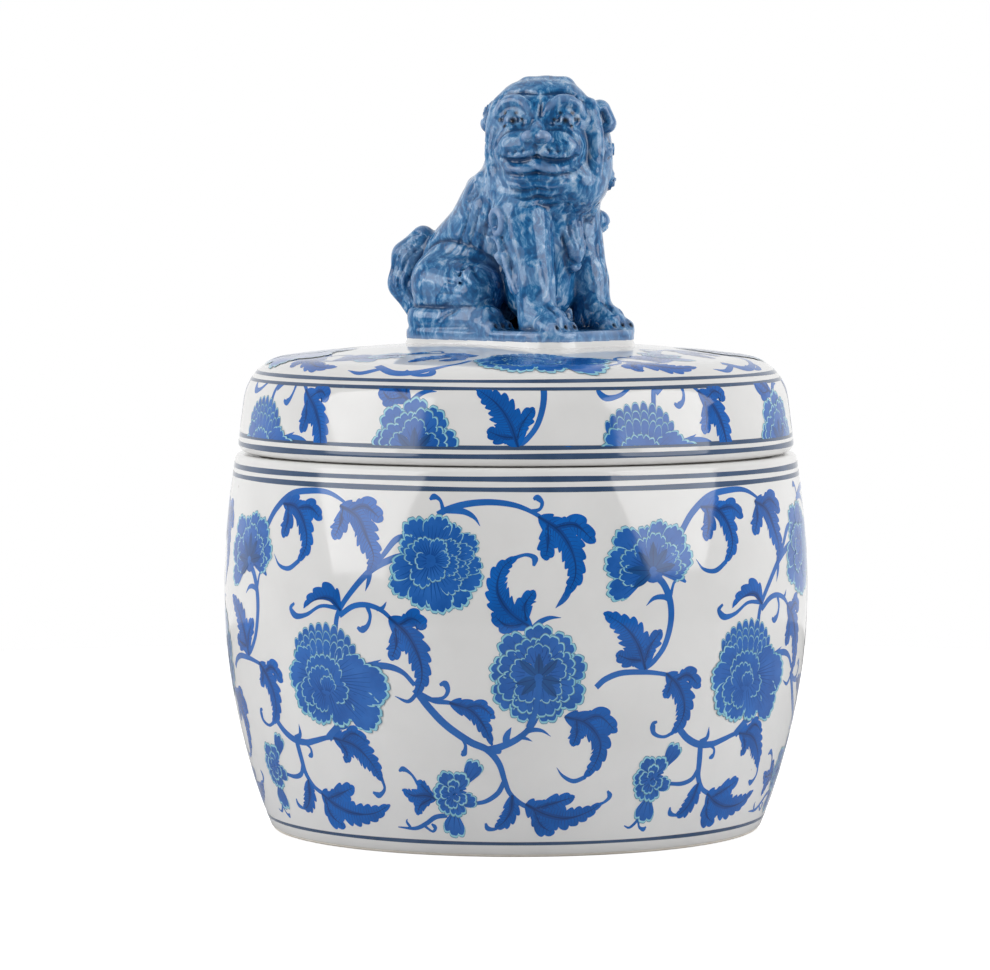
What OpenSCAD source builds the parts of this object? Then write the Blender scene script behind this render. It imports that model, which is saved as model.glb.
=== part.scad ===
// Round lidded porcelain jar with a seated guardian lion as the lid's handle.
// Millimetres, +Z up. The origin is on the jar's axis, in the plane of the table.
// The jar opens upwards; the lion's face looks along -Y.

/* [Jar] */
// Widest radius of the body
belly_r = 76.2; // [74:0.1:80]
// Height of the widest ring above the table
belly_z = 63; // [58:0.5:66]
// Outer radius where the body meets the table
foot_r = 63.9; // [60:0.1:66]
// Outer radius at the rim, before its rounding
rim_r = 73.1; // [71:0.1:74]
// Height of the rim above the table
rim_z = 98; // [94:0.5:102]
// Thickness of the body's wall
wall = 5; // [4:0.1:5.5]
// Thickness of the body's floor
floor_t = 5; // [4:0.1:7]
// Inside radius between floor and wall
floor_round = 12; // [8:0.5:16]
// Rounding of the rim's outer and inner edges
rim_round = 1.6; // [1:0.1:2]

/* [Foot] */
// Height of the foot ring, which is the recess under the floor
foot_h = 3; // [2:0.1:4]
// Width of the foot ring at the table
foot_w = 5; // [4:0.1:7]
// Rounding of the foot ring's outer edge
foot_round = 1; // [0.5:0.1:1.5]

/* [Lid] */
// Gap between the jar's rim and the lid that rests on it
seat_gap = 0.3; // [0.2:0.05:0.5]
// Widest radius of the lid, just above its lower edge
lid_r = 72.5; // [71.8:0.1:73]
// Rounding of the lid's lower edge
lid_edge_round = 2.4; // [1.6:0.1:3]
// Height of the dome's top above the seat
lid_h = 28.7; // [27.5:0.1:30]
// Radius of the round shoulder between the lid's side and its dome
shoulder_round = 12.2; // [11:0.1:13]
// Distance from the axis to the centre of the shoulder's round
shoulder_r = 58.9; // [57:0.1:59.4]
// Height of the shoulder's centre above the seat
shoulder_h = 12.6; // [12:0.1:13.5]
// Thickness of the lid's dome and side
lid_wall = 4.6; // [4:0.1:5]
// Height of the thick rim that the locating ring hangs from
lid_rim_h = 5; // [4:0.1:7]

/* [Locating ring] */
// Clearance between the ring and the jar's mouth
ring_clearance = 1.5; // [1:0.1:2.5]
// Thickness of the ring
ring_t = 4.6; // [3.5:0.1:5]
// Depth of the ring below the seat
ring_depth = 7; // [5:0.5:10]

/* [Finial] */
// Length of the plinth under the lion
plinth_l = 56; // [54:0.5:60]
// Width of the plinth
plinth_w = 37; // [36:0.5:42]
// Corner radius of the plinth
plinth_round = 9; // [7:0.5:12]
// Height of the plinth's top above the dome's top
plinth_h = 1.8; // [1.2:0.1:3]
// How far the plinth's centre lies towards the lion's chest
plinth_shift = 1.3; // [0:0.1:2]
// How far the lion's body is turned from +X towards -Y, in degrees
lion_turn = 42; // [30:1:50]
// How far the lion's head is turned from -Y towards -X, in degrees
head_turn = 7; // [0:1:15]

/* [Hidden] */

// Steps along each curved stretch of a turned profile
arc_steps = 14;
// Facets round the lion's rounded forms, which are blends without bores
form_fn = 14;
porcelain = "#F2F1EE";
bisque = "#D9CDBB";
lion_blue = "#3F6FA8";
lion_dark = "#274F86";

seat_z = rim_z + seat_gap;
apex_z = seat_z + lid_h;
plinth_z = apex_z + plinth_h;
mouth_r = rim_r - wall;
ring_r = mouth_r - ring_clearance;

// Radii of the two arcs that meet, upright, at the widest ring
lower_arc = (pow(belly_z, 2) + pow(belly_r - foot_r, 2)) / (2 * (belly_r - foot_r));
upper_arc = (pow(rim_z - belly_z, 2) + pow(belly_r - rim_r, 2)) / (2 * (belly_r - rim_r));

// The dome's arc is tangent to the shoulder's round from the inside
crown = lid_h - shoulder_h;
dome_arc = (pow(shoulder_r, 2) + pow(crown, 2) - pow(shoulder_round, 2)) / (2 * (crown - shoulder_round));
dome_angle = asin(shoulder_r / (dome_arc - shoulder_round));

// Outer radius of the body at height z
function body_r(z) =
    let (arc = z < belly_z ? lower_arc : upper_arc)
    belly_r - arc + sqrt(pow(arc, 2) - pow(z - belly_z, 2));

// Points of an arc about [x, z], from angle a to angle b, both ends included
function arc(x, z, r, a, b, steps = arc_steps) =
    [for (i = [0 : steps]) let (t = a + (b - a) * i / steps) [x + r * cos(t), z + r * sin(t)]];

// Points up or down the body's outside between two heights, moved in by inset
function body_side(from_z, to_z, inset, steps) =
    [for (i = [0 : steps]) let (z = from_z + (to_z - from_z) * i / steps) [body_r(z) - inset, z]];

// Outline of the lid's outside from the seat to the axis, shrunk by inset
function lid_outline(inset) =
    let (lean = atan((lid_r - shoulder_r - shoulder_round) / (shoulder_h - lid_edge_round)))
    concat(
        arc(shoulder_r, seat_z + shoulder_h, shoulder_round - inset, lean, 90 - dome_angle),
        [for (i = [1 : arc_steps])
            let (t = dome_angle * (1 - i / arc_steps))
            [(dome_arc - inset) * sin(t), apex_z - dome_arc + (dome_arc - inset) * cos(t)]]
    );

module jar_body() {
    floor_z = foot_h + floor_t;
    corner_r = body_r(floor_z + floor_round) - wall - floor_round;
    top_r = body_r(rim_z - rim_round) - rim_round;
    color(porcelain)
    rotate_extrude($fn = 120)
    polygon(concat(
        [[0, foot_h]],
        body_side(foot_h, rim_z - rim_round, 0, 2 * arc_steps),
        arc(top_r, rim_z - rim_round, rim_round, 0, 90, 5),
        arc(mouth_r + rim_round, rim_z - rim_round, rim_round, 90, 180, 5),
        body_side(rim_z - 2 * rim_round, floor_z + floor_round, wall, 2 * arc_steps),
        arc(corner_r, floor_z + floor_round, floor_round, -5, -90, 8),
        [[0, floor_z]]
    ));
}

module foot_ring() {
    color(bisque)
    rotate_extrude($fn = 120)
    polygon(concat(
        [[foot_r - foot_w, 0]],
        arc(body_r(foot_round) - foot_round, foot_round, foot_round, -90, 0, 5),
        [[body_r(foot_h), foot_h], [foot_r - foot_w - foot_h / 2, foot_h]]
    ));
}

// Solid of the lid's outside, down to the seat
module lid_outside() {
    rotate_extrude($fn = 120)
    polygon(concat(
        [[0, seat_z]],
        arc(lid_r - lid_edge_round, seat_z + lid_edge_round, lid_edge_round, -90, 0, 5),
        lid_outline(0)
    ));
}

module lid_cap() {
    color(porcelain)
    difference() {
        lid_outside();
        rotate_extrude($fn = 120)
        polygon(concat(
            [[0, seat_z - 1], [ring_r - ring_t, seat_z - 1], [ring_r - ring_t, seat_z + lid_rim_h]],
            [[shoulder_r + shoulder_round - lid_wall - 1, seat_z + lid_rim_h + lid_wall]],
            lid_outline(lid_wall)
        ));
    }
}

module locating_ring() {
    edge = 1.2;
    color(bisque)
    rotate_extrude($fn = 120)
    polygon(concat(
        [[ring_r - ring_t, seat_z], [ring_r - ring_t, seat_z - ring_depth]],
        arc(ring_r - edge, seat_z - ring_depth + edge, edge, -90, 0, 5),
        [[ring_r, seat_z]]
    ));
}

// Places the lion's own frame: x runs from its tail to its chest, y to its left side, z up from the plinth
module lion_frame() {
    translate([0, 0, plinth_z])
    rotate([0, 0, -lion_turn])
    children();
}

module lion_plinth() {
    color(porcelain)
    difference() {
        translate([0, 0, apex_z - 2])
        rotate([0, 0, -lion_turn])
        translate([plinth_shift, 0])
        linear_extrude(height = plinth_h + 2)
        union() {
            square([plinth_l - 2 * plinth_round, plinth_w], center = true);
            square([plinth_l, plinth_w - 2 * plinth_round], center = true);
            for (x = [-1, 1], y = [-1, 1])
                translate([x * (plinth_l / 2 - plinth_round), y * (plinth_w / 2 - plinth_round)])
                circle(plinth_round, $fn = 60);
        }
        lid_outside();
    }
}

// A ball at a point
module ball(at, r) {
    translate(at)
    sphere(r, $fn = form_fn);
}

// A tapered limb with round ends
module limb(from, from_r, to, to_r) {
    hull() {
        ball(from, from_r);
        ball(to, to_r);
    }
}

// Cuts a form off at the plinth's top
module on_plinth() {
    difference() {
        children();
        translate([-60, -60, -40])
        cube([120, 120, 40]);
    }
}

module torso_form() {
    on_plinth() {
        limb([-13.5, 0, 13], 13.5, [-14, 0, 17.5], 13.8);
        limb([-14, 0, 17.5], 13.8, [-3, 0, 32], 12.2);
        limb([-3, 0, 32], 12.2, [8, 1, 42], 11);
        limb([8, 0, 12], 10, [9, 0, 32], 11.5);
    }
}

// side is -1 for the lion's right and 1 for its left
module hind_leg_form(side) {
    on_plinth() {
        limb([-16, side * 9, 13], 10, [-4, side * 11.5, 11], 8);
        limb([-19, side * 14, 4.2], 5.2, [3, side * 14, 3.6], 4.4);
        for (toe = [-1 : 1])
            limb([2, side * 14 + toe * 2.4, 3.2], 2.2, [6, side * 14 + toe * 2.8, 2], 2);
    }
}

module foreleg_form(side) {
    on_plinth() {
        limb([10.5, side * 9.3, 31], 8.3, [15.5, side * 10.5, 14], 5.8);
        limb([15.5, side * 10.5, 14], 5.8, [17.5, side * 10.8, 4.5], 5.2);
        limb([17.5, side * 10.8, 4.5], 5.2, [22, side * 11.2, 3.4], 4.8);
        for (toe = [-1 : 1])
            limb([22, side * 11.2 + toe * 3, 3.2], 2.4, [25.2, side * 11.2 + toe * 3.4, 2], 2.1);
    }
}

module tail_form() {
    on_plinth() {
        limb([-25, -6, 4], 5, [-31, -9, 13], 4.6);
        limb([-31, -9, 13], 4.6, [-30.5, -8.5, 20], 4.2);
        limb([-30.5, -8.5, 20], 4.2, [-26, -7, 25], 3.4);
        limb([-27, -4, 10], 5, [-27, -5, 21], 4.6);
    }
}

// The head and the mane look along -Y of the jar, but for head_turn, so they have axes of their own
module head_frame() {
    rotate([0, 0, lion_turn])
    translate([6.8, -9.5, 51.6])
    rotate([0, 0, -head_turn])
    children();
}

module mane_form() {
    head_frame() {
        limb([-2.5, 7, -2], 12.5, [5, 7, -2], 12.5);
        limb([-3.5, 5, -10], 12.5, [5.5, 5, -9], 12.5);
        limb([-6.5, -1, -13], 8.2, [8, -1, -12.5], 8.2);
    }
}

module head_form() {
    head_frame() {
        limb([-4, 1, 3], 11.5, [4, 1, 3], 11.5);
        limb([-6, 0, 9], 6, [6, 0, 9], 6);
        limb([-4, 1, 12], 3.6, [4, 1, 12], 3.6);
        limb([-4.5, -5, -4], 8, [4.5, -5, -4], 8);
        limb([-2.5, -8, -3], 6, [2.5, -8, -3], 6);
    }
}

module ears_form() {
    head_frame()
    for (side = [-1, 1])
        limb([side * 14.2, 4, 5.5], 3.4, [side * 16.2, 5, 2.5], 2.8);
}

module lion_torso() {
    color(lion_blue)
    lion_frame()
    torso_form();
}

module lion_right_hind_leg() {
    color(lion_blue)
    lion_frame()
    difference() {
        hind_leg_form(-1);
        torso_form();
    }
}

module lion_left_hind_leg() {
    color(lion_blue)
    lion_frame()
    difference() {
        hind_leg_form(1);
        torso_form();
    }
}

module lion_right_foreleg() {
    color(lion_blue)
    lion_frame()
    difference() {
        foreleg_form(-1);
        torso_form();
        hind_leg_form(-1);
    }
}

module lion_left_foreleg() {
    color(lion_blue)
    lion_frame()
    difference() {
        foreleg_form(1);
        torso_form();
        hind_leg_form(1);
    }
}

module lion_tail() {
    color(lion_dark)
    lion_frame()
    difference() {
        tail_form();
        torso_form();
        hind_leg_form(-1);
    }
}

module lion_mane() {
    color(lion_dark)
    lion_frame()
    difference() {
        mane_form();
        torso_form();
        foreleg_form(-1);
        foreleg_form(1);
    }
}

module lion_head() {
    color(lion_blue)
    lion_frame()
    difference() {
        head_form();
        torso_form();
        mane_form();
    }
}

module lion_ears() {
    color(lion_dark)
    lion_frame()
    difference() {
        ears_form();
        head_form();
        mane_form();
    }
}

module ribbon_and_bell() {
    color(lion_dark)
    lion_frame()
    difference() {
        union() {
            limb([18.5, 0, 32], 2.4, [19.5, 0, 26], 2.8);
            limb([19.5, 0, 26], 2.8, [19, 0, 21], 3.6);
            limb([8, -16.6, 33], 2, [9, -17.4, 27], 1.8);
        }
        torso_form();
        foreleg_form(-1);
        foreleg_form(1);
        mane_form();
    }
}

jar_body();
foot_ring();
lid_cap();
locating_ring();
lion_plinth();
lion_torso();
lion_right_hind_leg();
lion_left_hind_leg();
lion_right_foreleg();
lion_left_foreleg();
lion_tail();
lion_mane();
lion_head();
lion_ears();
ribbon_and_bell();
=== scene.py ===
import math

import bpy
import numpy as np
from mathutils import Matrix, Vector

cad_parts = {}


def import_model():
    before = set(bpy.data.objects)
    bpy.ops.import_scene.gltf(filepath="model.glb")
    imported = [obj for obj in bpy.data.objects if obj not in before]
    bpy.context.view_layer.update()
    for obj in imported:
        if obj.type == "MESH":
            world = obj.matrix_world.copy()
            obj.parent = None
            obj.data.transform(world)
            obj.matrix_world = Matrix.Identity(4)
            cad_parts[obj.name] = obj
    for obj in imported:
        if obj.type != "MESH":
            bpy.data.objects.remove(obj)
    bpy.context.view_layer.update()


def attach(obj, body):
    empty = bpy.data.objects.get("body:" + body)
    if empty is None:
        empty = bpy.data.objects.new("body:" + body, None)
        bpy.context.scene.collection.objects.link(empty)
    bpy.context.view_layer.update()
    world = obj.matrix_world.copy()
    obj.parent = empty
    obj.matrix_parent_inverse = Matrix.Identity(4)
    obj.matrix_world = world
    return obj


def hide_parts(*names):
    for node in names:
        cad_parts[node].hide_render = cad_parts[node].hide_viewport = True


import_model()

# All sizes are millimetres of the CAD part until a mesh is made.
MM = 0.001
BELLY_R, BELLY_Z = 76.2, 63.0
FOOT_R, FOOT_H, FOOT_W = 63.9, 3.0, 5.0
RIM_R, RIM_Z, RIM_ROUND = 73.1, 98.0, 1.6
WALL, FLOOR_T, FLOOR_ROUND = 5.0, 5.0, 12.0
SEAT_Z = RIM_Z + 0.3
LID_R, LID_EDGE, LID_WALL, LID_H = 72.5, 2.4, 4.6, 28.7
SHOULDER_R, SHOULDER_ROUND, SHOULDER_Z = 58.9, 12.2, SEAT_Z + 12.6
RING_R, RING_T, RING_DEPTH = RIM_R - WALL - 1.5, 4.6, 7.0
APEX_Z = SEAT_Z + LID_H
PLINTH_Z = APEX_Z + 1.8
TURN = math.radians(42)
SEGMENTS = 256
QUARTER = math.pi / 2
PERIOD = 2 * math.pi * BELLY_R / 4  # one repeat of the print on the belly
ALL_ROUND = range(4)                # the quarters that the print repeats in
DOME_PRINT_R = 48.0                 # radius at which the dome's print is drawn to size
DOME_LINES_R = 67.2                 # radius from which heights on the dome run inwards
GLAZE_IOR = 1.52
GLAZE_STOP = 1.0                    # height under which the foot is bare
LID_LEDGE = 5.0                     # height of the ledge inside the lid above its seat

# The white plinth along the lion's axes, and how the lion's blue base wraps it.
PLINTH_MIDDLE, PLINTH_L, PLINTH_W, PLINTH_CORNER, PLINTH_EDGE = 1.3, 56.0, 37.0, 9.0, 0.9
BASE_OVERLAP, BASE_TOP, BASE_DROP = 0.25, 1.5, 1.4
LION_STEP = 0.5                     # spacing of the block that the lion is modelled in

LOWER_ARC = (BELLY_Z ** 2 + (BELLY_R - FOOT_R) ** 2) / (2 * (BELLY_R - FOOT_R))
UPPER_ARC = ((RIM_Z - BELLY_Z) ** 2 + (BELLY_R - RIM_R) ** 2) / (2 * (BELLY_R - RIM_R))
CROWN = APEX_Z - SHOULDER_Z
DOME_ARC = (SHOULDER_R ** 2 + CROWN ** 2 - SHOULDER_ROUND ** 2) / (2 * (CROWN - SHOULDER_ROUND))
DOME_ANGLE = math.degrees(math.asin(SHOULDER_R / (DOME_ARC - SHOULDER_ROUND)))


# ---------------------------------------------------------------- materials

def node(tree, kind, **inputs):
    """Adds a shader node and sets its unlinked inputs by name."""
    made = tree.nodes.new(kind)
    for name, value in inputs.items():
        made.inputs[name.replace("_", " ")].default_value = value
    return made


def noise(tree, scale, detail=2.0, rough=0.5):
    """Noise in the part's own metres, so print and glaze share one surface."""
    place = node(tree, "ShaderNodeTexCoord")
    made = node(tree, "ShaderNodeTexNoise", Scale=scale, Detail=detail, Roughness=rough)
    tree.links.new(place.outputs["Object"], made.inputs["Vector"])
    return made.outputs["Fac"]


def ramp(tree, source, stops):
    """Colour ramp through stops of (place, colour)."""
    made = node(tree, "ShaderNodeValToRGB")
    ramp_stops = made.color_ramp.elements
    while len(ramp_stops) < len(stops):
        ramp_stops.new(0.5)
    for element, (place, colour) in zip(ramp_stops, stops):
        element.position = place
        element.color = (*colour, 1)
    tree.links.new(source, made.inputs["Fac"])
    return made.outputs["Color"]


def span(tree, source, low, high, to_low, to_high):
    """Maps source from low..high to to_low..to_high, clamped."""
    made = node(tree, "ShaderNodeMapRange")
    for name, value in zip(("From Min", "From Max", "To Min", "To Max"), (low, high, to_low, to_high)):
        made.inputs[name].default_value = value
    tree.links.new(source, made.inputs["Value"])
    return made.outputs["Result"]


def bumps(tree, shader, layers):
    """Chains bump nodes: layers of (height output, strength, distance in metres)."""
    last = None
    for height, strength, distance in layers:
        made = node(tree, "ShaderNodeBump", Strength=strength, Distance=distance)
        tree.links.new(height, made.inputs["Height"])
        if last:
            tree.links.new(last, made.inputs["Normal"])
        last = made.outputs["Normal"]
    tree.links.new(last, shader.inputs["Normal"])


def mixed(tree, factor, first, second):
    """Mixes two colours by factor; the second is an output or a plain colour."""
    made = node(tree, "ShaderNodeMix")
    made.data_type = "RGBA"
    tree.links.new(factor, made.inputs["Factor"])
    tree.links.new(first, made.inputs["A"])
    if isinstance(second, tuple):
        made.inputs["B"].default_value = (*second, 1)
    else:
        tree.links.new(second, made.inputs["B"])
    return made.outputs["Result"]


def vector_math(tree, operation, first, second=None):
    """Vector maths on an output with another output, a constant vector or a scale."""
    made = node(tree, "ShaderNodeVectorMath")
    made.operation = operation
    tree.links.new(first, made.inputs[0])
    if isinstance(second, float):
        made.inputs["Scale"].default_value = second
    elif isinstance(second, tuple):
        made.inputs[1].default_value = second
    elif second:
        tree.links.new(second, made.inputs[1])
    return made


def new_material(name):
    """A material with nodes, its tree and its shader."""
    made = bpy.data.materials.new(name)
    made.use_nodes = True
    tree = made.node_tree
    return made, tree, tree.nodes["Principled BSDF"]


def fired(tree, shader, colour, slow=35.0, rough=(0.05, 0.11)):
    """Gives a shader its colour and the uneven shine of a fired glaze."""
    tree.links.new(colour, shader.inputs["Base Color"])
    tree.links.new(span(tree, noise(tree, slow, 3.0), 0.3, 0.7, *rough), shader.inputs["Roughness"])
    shader.inputs["IOR"].default_value = GLAZE_IOR


def rippled(tree, shader):
    """The slow ripple and fine orange peel that print and white glaze share."""
    bumps(tree, shader, [(noise(tree, 26.0, 1.0), 0.35, 0.0009), (noise(tree, 420.0, 2.0), 0.10, 0.00012)])


def glazed(name, dark, light, patch):
    """A print colour under glaze: two close tones in soft patches."""
    made, tree, shader = new_material(name)
    tone = ramp(tree, noise(tree, patch, 4.0, 0.6), [(0.3, dark), (0.7, light)])
    fired(tree, shader, tone)
    rippled(tree, shader)
    return made


def white_glaze():
    """Cool white glaze with faint grey patches and a few iron specks."""
    made, tree, shader = new_material("white_glaze")
    grey, pale = (0.76, 0.755, 0.745), (0.83, 0.825, 0.815)
    body = ramp(tree, noise(tree, 38.0, 4.0, 0.55), [(0.3, grey), (0.7, pale)])
    place = node(tree, "ShaderNodeTexCoord")
    cells = node(tree, "ShaderNodeTexVoronoi", Scale=85.0)
    tree.links.new(place.outputs["Object"], cells.inputs["Vector"])
    speck = span(tree, cells.outputs["Distance"], 0.022, 0.034, 1.0, 0.0)
    few = span(tree, noise(tree, 30.0, 0.0), 0.60, 0.62, 0.0, 0.55)
    both = node(tree, "ShaderNodeMath")
    both.operation = "MULTIPLY"
    tree.links.new(speck, both.inputs[0])
    tree.links.new(few, both.inputs[1])
    fired(tree, shader, mixed(tree, both.outputs[0], body, (0.30, 0.25, 0.20)))
    rippled(tree, shader)
    return made


def bare_porcelain():
    """Unglazed fired clay: matt, faintly warm, with fine grain and a little kiln dirt."""
    made, tree, shader = new_material("unglazed_porcelain")
    dusty, clean = (0.60, 0.55, 0.48), (0.74, 0.70, 0.64)
    tone = ramp(tree, noise(tree, 160.0, 6.0, 0.7), [(0.3, dusty), (0.62, clean)])
    tree.links.new(tone, shader.inputs["Base Color"])
    tree.links.new(span(tree, noise(tree, 500.0, 3.0), 0.3, 0.7, 0.62, 0.82), shader.inputs["Roughness"])
    grain, dents = noise(tree, 1800.0, 4.0, 0.7), noise(tree, 240.0, 2.0)
    bumps(tree, shader, [(grain, 0.5, 0.0001), (dents, 0.3, 0.0002)])
    return made


PRINT = {
    "leaf": glazed("print_leaf", (0.001, 0.090, 0.38), (0.002, 0.140, 0.56), 110.0),
    "vein": glazed("print_vein", (0.002, 0.036, 0.15), (0.004, 0.060, 0.24), 150.0),
    "shade": glazed("print_shade", (0.002, 0.056, 0.26), (0.004, 0.086, 0.36), 150.0),
    "vine": glazed("print_vine", (0.012, 0.115, 0.42), (0.022, 0.160, 0.54), 110.0),
    "petal": glazed("print_petal", (0.006, 0.092, 0.38), (0.022, 0.150, 0.52), 130.0),
    "rim": glazed("print_rim", (0.20, 0.50, 0.62), (0.36, 0.68, 0.78), 150.0),
    "edge": glazed("print_edge", (0.09, 0.20, 0.32), (0.16, 0.30, 0.42), 150.0),
    "star": glazed("print_star", (0.004, 0.062, 0.22), (0.008, 0.092, 0.31), 150.0),
    "line": glazed("print_line", (0.034, 0.070, 0.142), (0.062, 0.108, 0.205), 90.0),
}


def daubed(tree):
    """Noise stretched and bent into brushed daubs."""
    place = node(tree, "ShaderNodeTexCoord")
    warp = node(tree, "ShaderNodeTexNoise", Scale=90.0, Detail=3.0)
    tree.links.new(place.outputs["Object"], warp.inputs["Vector"])
    bend = vector_math(tree, "SCALE", warp.outputs["Color"], 0.012)
    bent = vector_math(tree, "ADD", place.outputs["Object"], bend.outputs[0])
    stretch = node(tree, "ShaderNodeMapping", Scale=(1.0, 1.0, 0.42), Rotation=(0.5, 0.4, 0.3))
    tree.links.new(bent.outputs[0], stretch.inputs["Vector"])
    daubs = node(tree, "ShaderNodeTexNoise", Scale=560.0, Detail=4.0, Roughness=0.60)
    tree.links.new(stretch.outputs[0], daubs.inputs["Vector"])
    return daubs.outputs["Fac"]


def lion_glaze():
    """Cobalt sponged and brushed over white: dense strokes, with painted shade in creases, a painted
    highlight on raised edges and painted reflections in pale patches. The lion's mesh carries relief (0.5
    where flat) and ink (1 on pupils and nails)."""
    made, tree, shader = new_material("mottled_blue_glaze")
    daubs = daubed(tree)
    colour = ramp(tree, daubs, [
        (0.36, (0.003, 0.062, 0.190)), (0.45, (0.005, 0.112, 0.310)), (0.52, (0.036, 0.200, 0.430)),
        (0.59, (0.170, 0.370, 0.610)), (0.67, (0.450, 0.590, 0.760))])
    deep, clear = (0.006, 0.105, 0.300), (0.120, 0.290, 0.540)
    washes = ramp(tree, noise(tree, 95.0, 3.0), [(0.36, deep), (0.64, clear)])
    relief = node(tree, "ShaderNodeAttribute")
    relief.attribute_name = "relief"
    ink = node(tree, "ShaderNodeAttribute")
    ink.attribute_name = "ink"
    wash = span(tree, noise(tree, 60.0, 2.0), 0.35, 0.65, 0.05, 0.40)
    # painted reflection: pale flat patches in the colour of the softboxes' reflections, placed by noise
    patch = span(tree, noise(tree, 105.0, 1.0, 0.4), 0.570, 0.590, 0.0, 0.24)
    # painted shade: darkens the glaze almost to black where the relief is low, in creases
    painted_crease_shade = span(tree, relief.outputs["Fac"], 0.46, 0.20, 0.0, 0.92)
    # painted highlight: pales the glaze towards the colour of the softbox reflections where the relief is
    # high, on raised edges
    edge = span(tree, relief.outputs["Fac"], 0.66, 0.95, 0.0, 0.60)
    for factor, other in ((wash, washes), (patch, (0.290, 0.430, 0.640)), (painted_crease_shade, (0.002, 0.040, 0.130)),
                          (edge, (0.330, 0.450, 0.680)), (ink.outputs["Fac"], (0.010, 0.009, 0.012))):
        colour = mixed(tree, factor, colour, other)
    fired(tree, shader, colour, 60.0, (0.06, 0.14))
    bumps(tree, shader, [(noise(tree, 120.0, 2.0), 0.25, 0.0005), (daubs, 0.08, 0.0002)])
    return made


WHITE = white_glaze()
BARE = bare_porcelain()
LION = lion_glaze()
LION_NODES = ["lion_torso", "lion_right_hind_leg", "lion_left_hind_leg", "lion_right_foreleg",
              "lion_left_foreleg", "lion_tail", "lion_mane", "lion_head", "lion_ears", "ribbon_and_bell"]


# ---------------------------------------------------------------- turned porcelain

def arc(x, z, r, start, end, steps):
    """Points of an arc about (x, z) between two angles in degrees."""
    t = np.radians(np.linspace(start, end, steps + 1))
    return np.stack([x + r * np.cos(t), z + r * np.sin(t)], 1)


def body_r(z):
    """Outer radius of the jar at height z."""
    big = np.where(np.asarray(z) < BELLY_Z, LOWER_ARC, UPPER_ARC)
    return BELLY_R - big + np.sqrt(big ** 2 - (z - BELLY_Z) ** 2)


def side(from_z, to_z, inset):
    """The jar's side between two heights, moved inwards by inset."""
    z = np.linspace(from_z, to_z, 41)
    return np.stack([body_r(z) - inset, z], 1)


def lid_outline(inset, steps=24):
    """The lid from its side over the shoulder to the axis, moved inwards by inset."""
    lean = math.degrees(math.atan((LID_R - SHOULDER_R - SHOULDER_ROUND) / (SHOULDER_Z - SEAT_Z - LID_EDGE)))
    shoulder = arc(SHOULDER_R, SHOULDER_Z, SHOULDER_ROUND - inset, lean, 90 - DOME_ANGLE, steps)
    dome = arc(0, APEX_Z - DOME_ARC, DOME_ARC - inset, 90 - DOME_ANGLE, 90, steps)
    return np.concatenate([shoulder, dome[1:]])


def lid_edge():
    """The lid's rounded lower edge."""
    return arc(LID_R - LID_EDGE, SEAT_Z + LID_EDGE, LID_EDGE, -90, 0, 8)


def make(name, verts, faces, material, body, replaced=(), slot="white_glaze", normals=None):
    """Makes one piece in metres from points in millimetres."""
    mesh = bpy.data.meshes.new(name)
    mesh.from_pydata((np.asarray(verts) * MM).tolist(), [], [list(f) for f in faces])
    mesh.polygons.foreach_set("use_smooth", [True] * len(mesh.polygons))
    mesh.materials.append(material)
    if normals is not None:
        mesh.normals_split_custom_set_from_vertices(normals)
    mesh.update()
    piece = bpy.data.objects.new(name, mesh)
    bpy.context.scene.collection.objects.link(piece)
    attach(piece, body)
    if replaced:
        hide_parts(*replaced)
    return piece


def turned(profile, closed):
    """Vertices and faces of a profile turned about the axis; points on the axis become poles."""
    a = np.linspace(0, 2 * np.pi, SEGMENTS, endpoint=False)
    verts, rows = [], []
    for r, z in profile:
        if r < 1e-6:
            rows.append([len(verts)] * SEGMENTS)
            verts.append((0, 0, z))
            continue
        rows.append(range(len(verts), len(verts) + SEGMENTS))
        verts.extend(zip(r * np.cos(a), r * np.sin(a), [z] * SEGMENTS))
    if closed:
        rows.append(rows[0])
    faces = []
    for low, high in zip(rows, rows[1:]):
        for i in range(SEGMENTS):
            j = (i + 1) % SEGMENTS
            face = [low[i], low[j], high[j], high[i]]
            face = [v for n, v in enumerate(face) if v not in face[:n]]
            if len(face) > 2:
                faces.append(face)
    return verts, faces


def jar_body():
    """Body and glazed outside of the foot, down to the bare standing ring."""
    floor_z = FOOT_H + FLOOR_T
    low_z = floor_z + FLOOR_ROUND
    corner_r = float(body_r(low_z)) - WALL - FLOOR_ROUND
    rim_low = RIM_Z - RIM_ROUND
    return np.concatenate([
        [[0, FOOT_H], [FOOT_R - FOOT_W - 2.4, FOOT_H], [FOOT_R - FOOT_W - 0.2, GLAZE_STOP]],
        [[float(body_r(GLAZE_STOP)) - 0.5, 0.6]],
        side(GLAZE_STOP, rim_low, 0),
        arc(float(body_r(rim_low)) - RIM_ROUND, rim_low, RIM_ROUND, 0, 90, 8)[1:],
        arc(RIM_R - WALL + RIM_ROUND, rim_low, RIM_ROUND, 90, 180, 8),
        side(RIM_Z - 2 * RIM_ROUND, low_z, WALL),
        arc(corner_r, low_z, FLOOR_ROUND, -5, -90, 12),
        [[0, floor_z]],
    ])


def foot_ring():
    """The unglazed ring that the jar stands on."""
    inner, outer = FOOT_R - FOOT_W, float(body_r(GLAZE_STOP)) - 0.9
    return np.concatenate([
        [[inner + 0.2, 1.4]], arc(inner + 0.8, 0.8, 0.8, 180, 270, 6),
        arc(outer - 0.2, 0.7, 0.7, -90, 0, 6), [[outer + 0.2, 1.4]],
    ])


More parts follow.
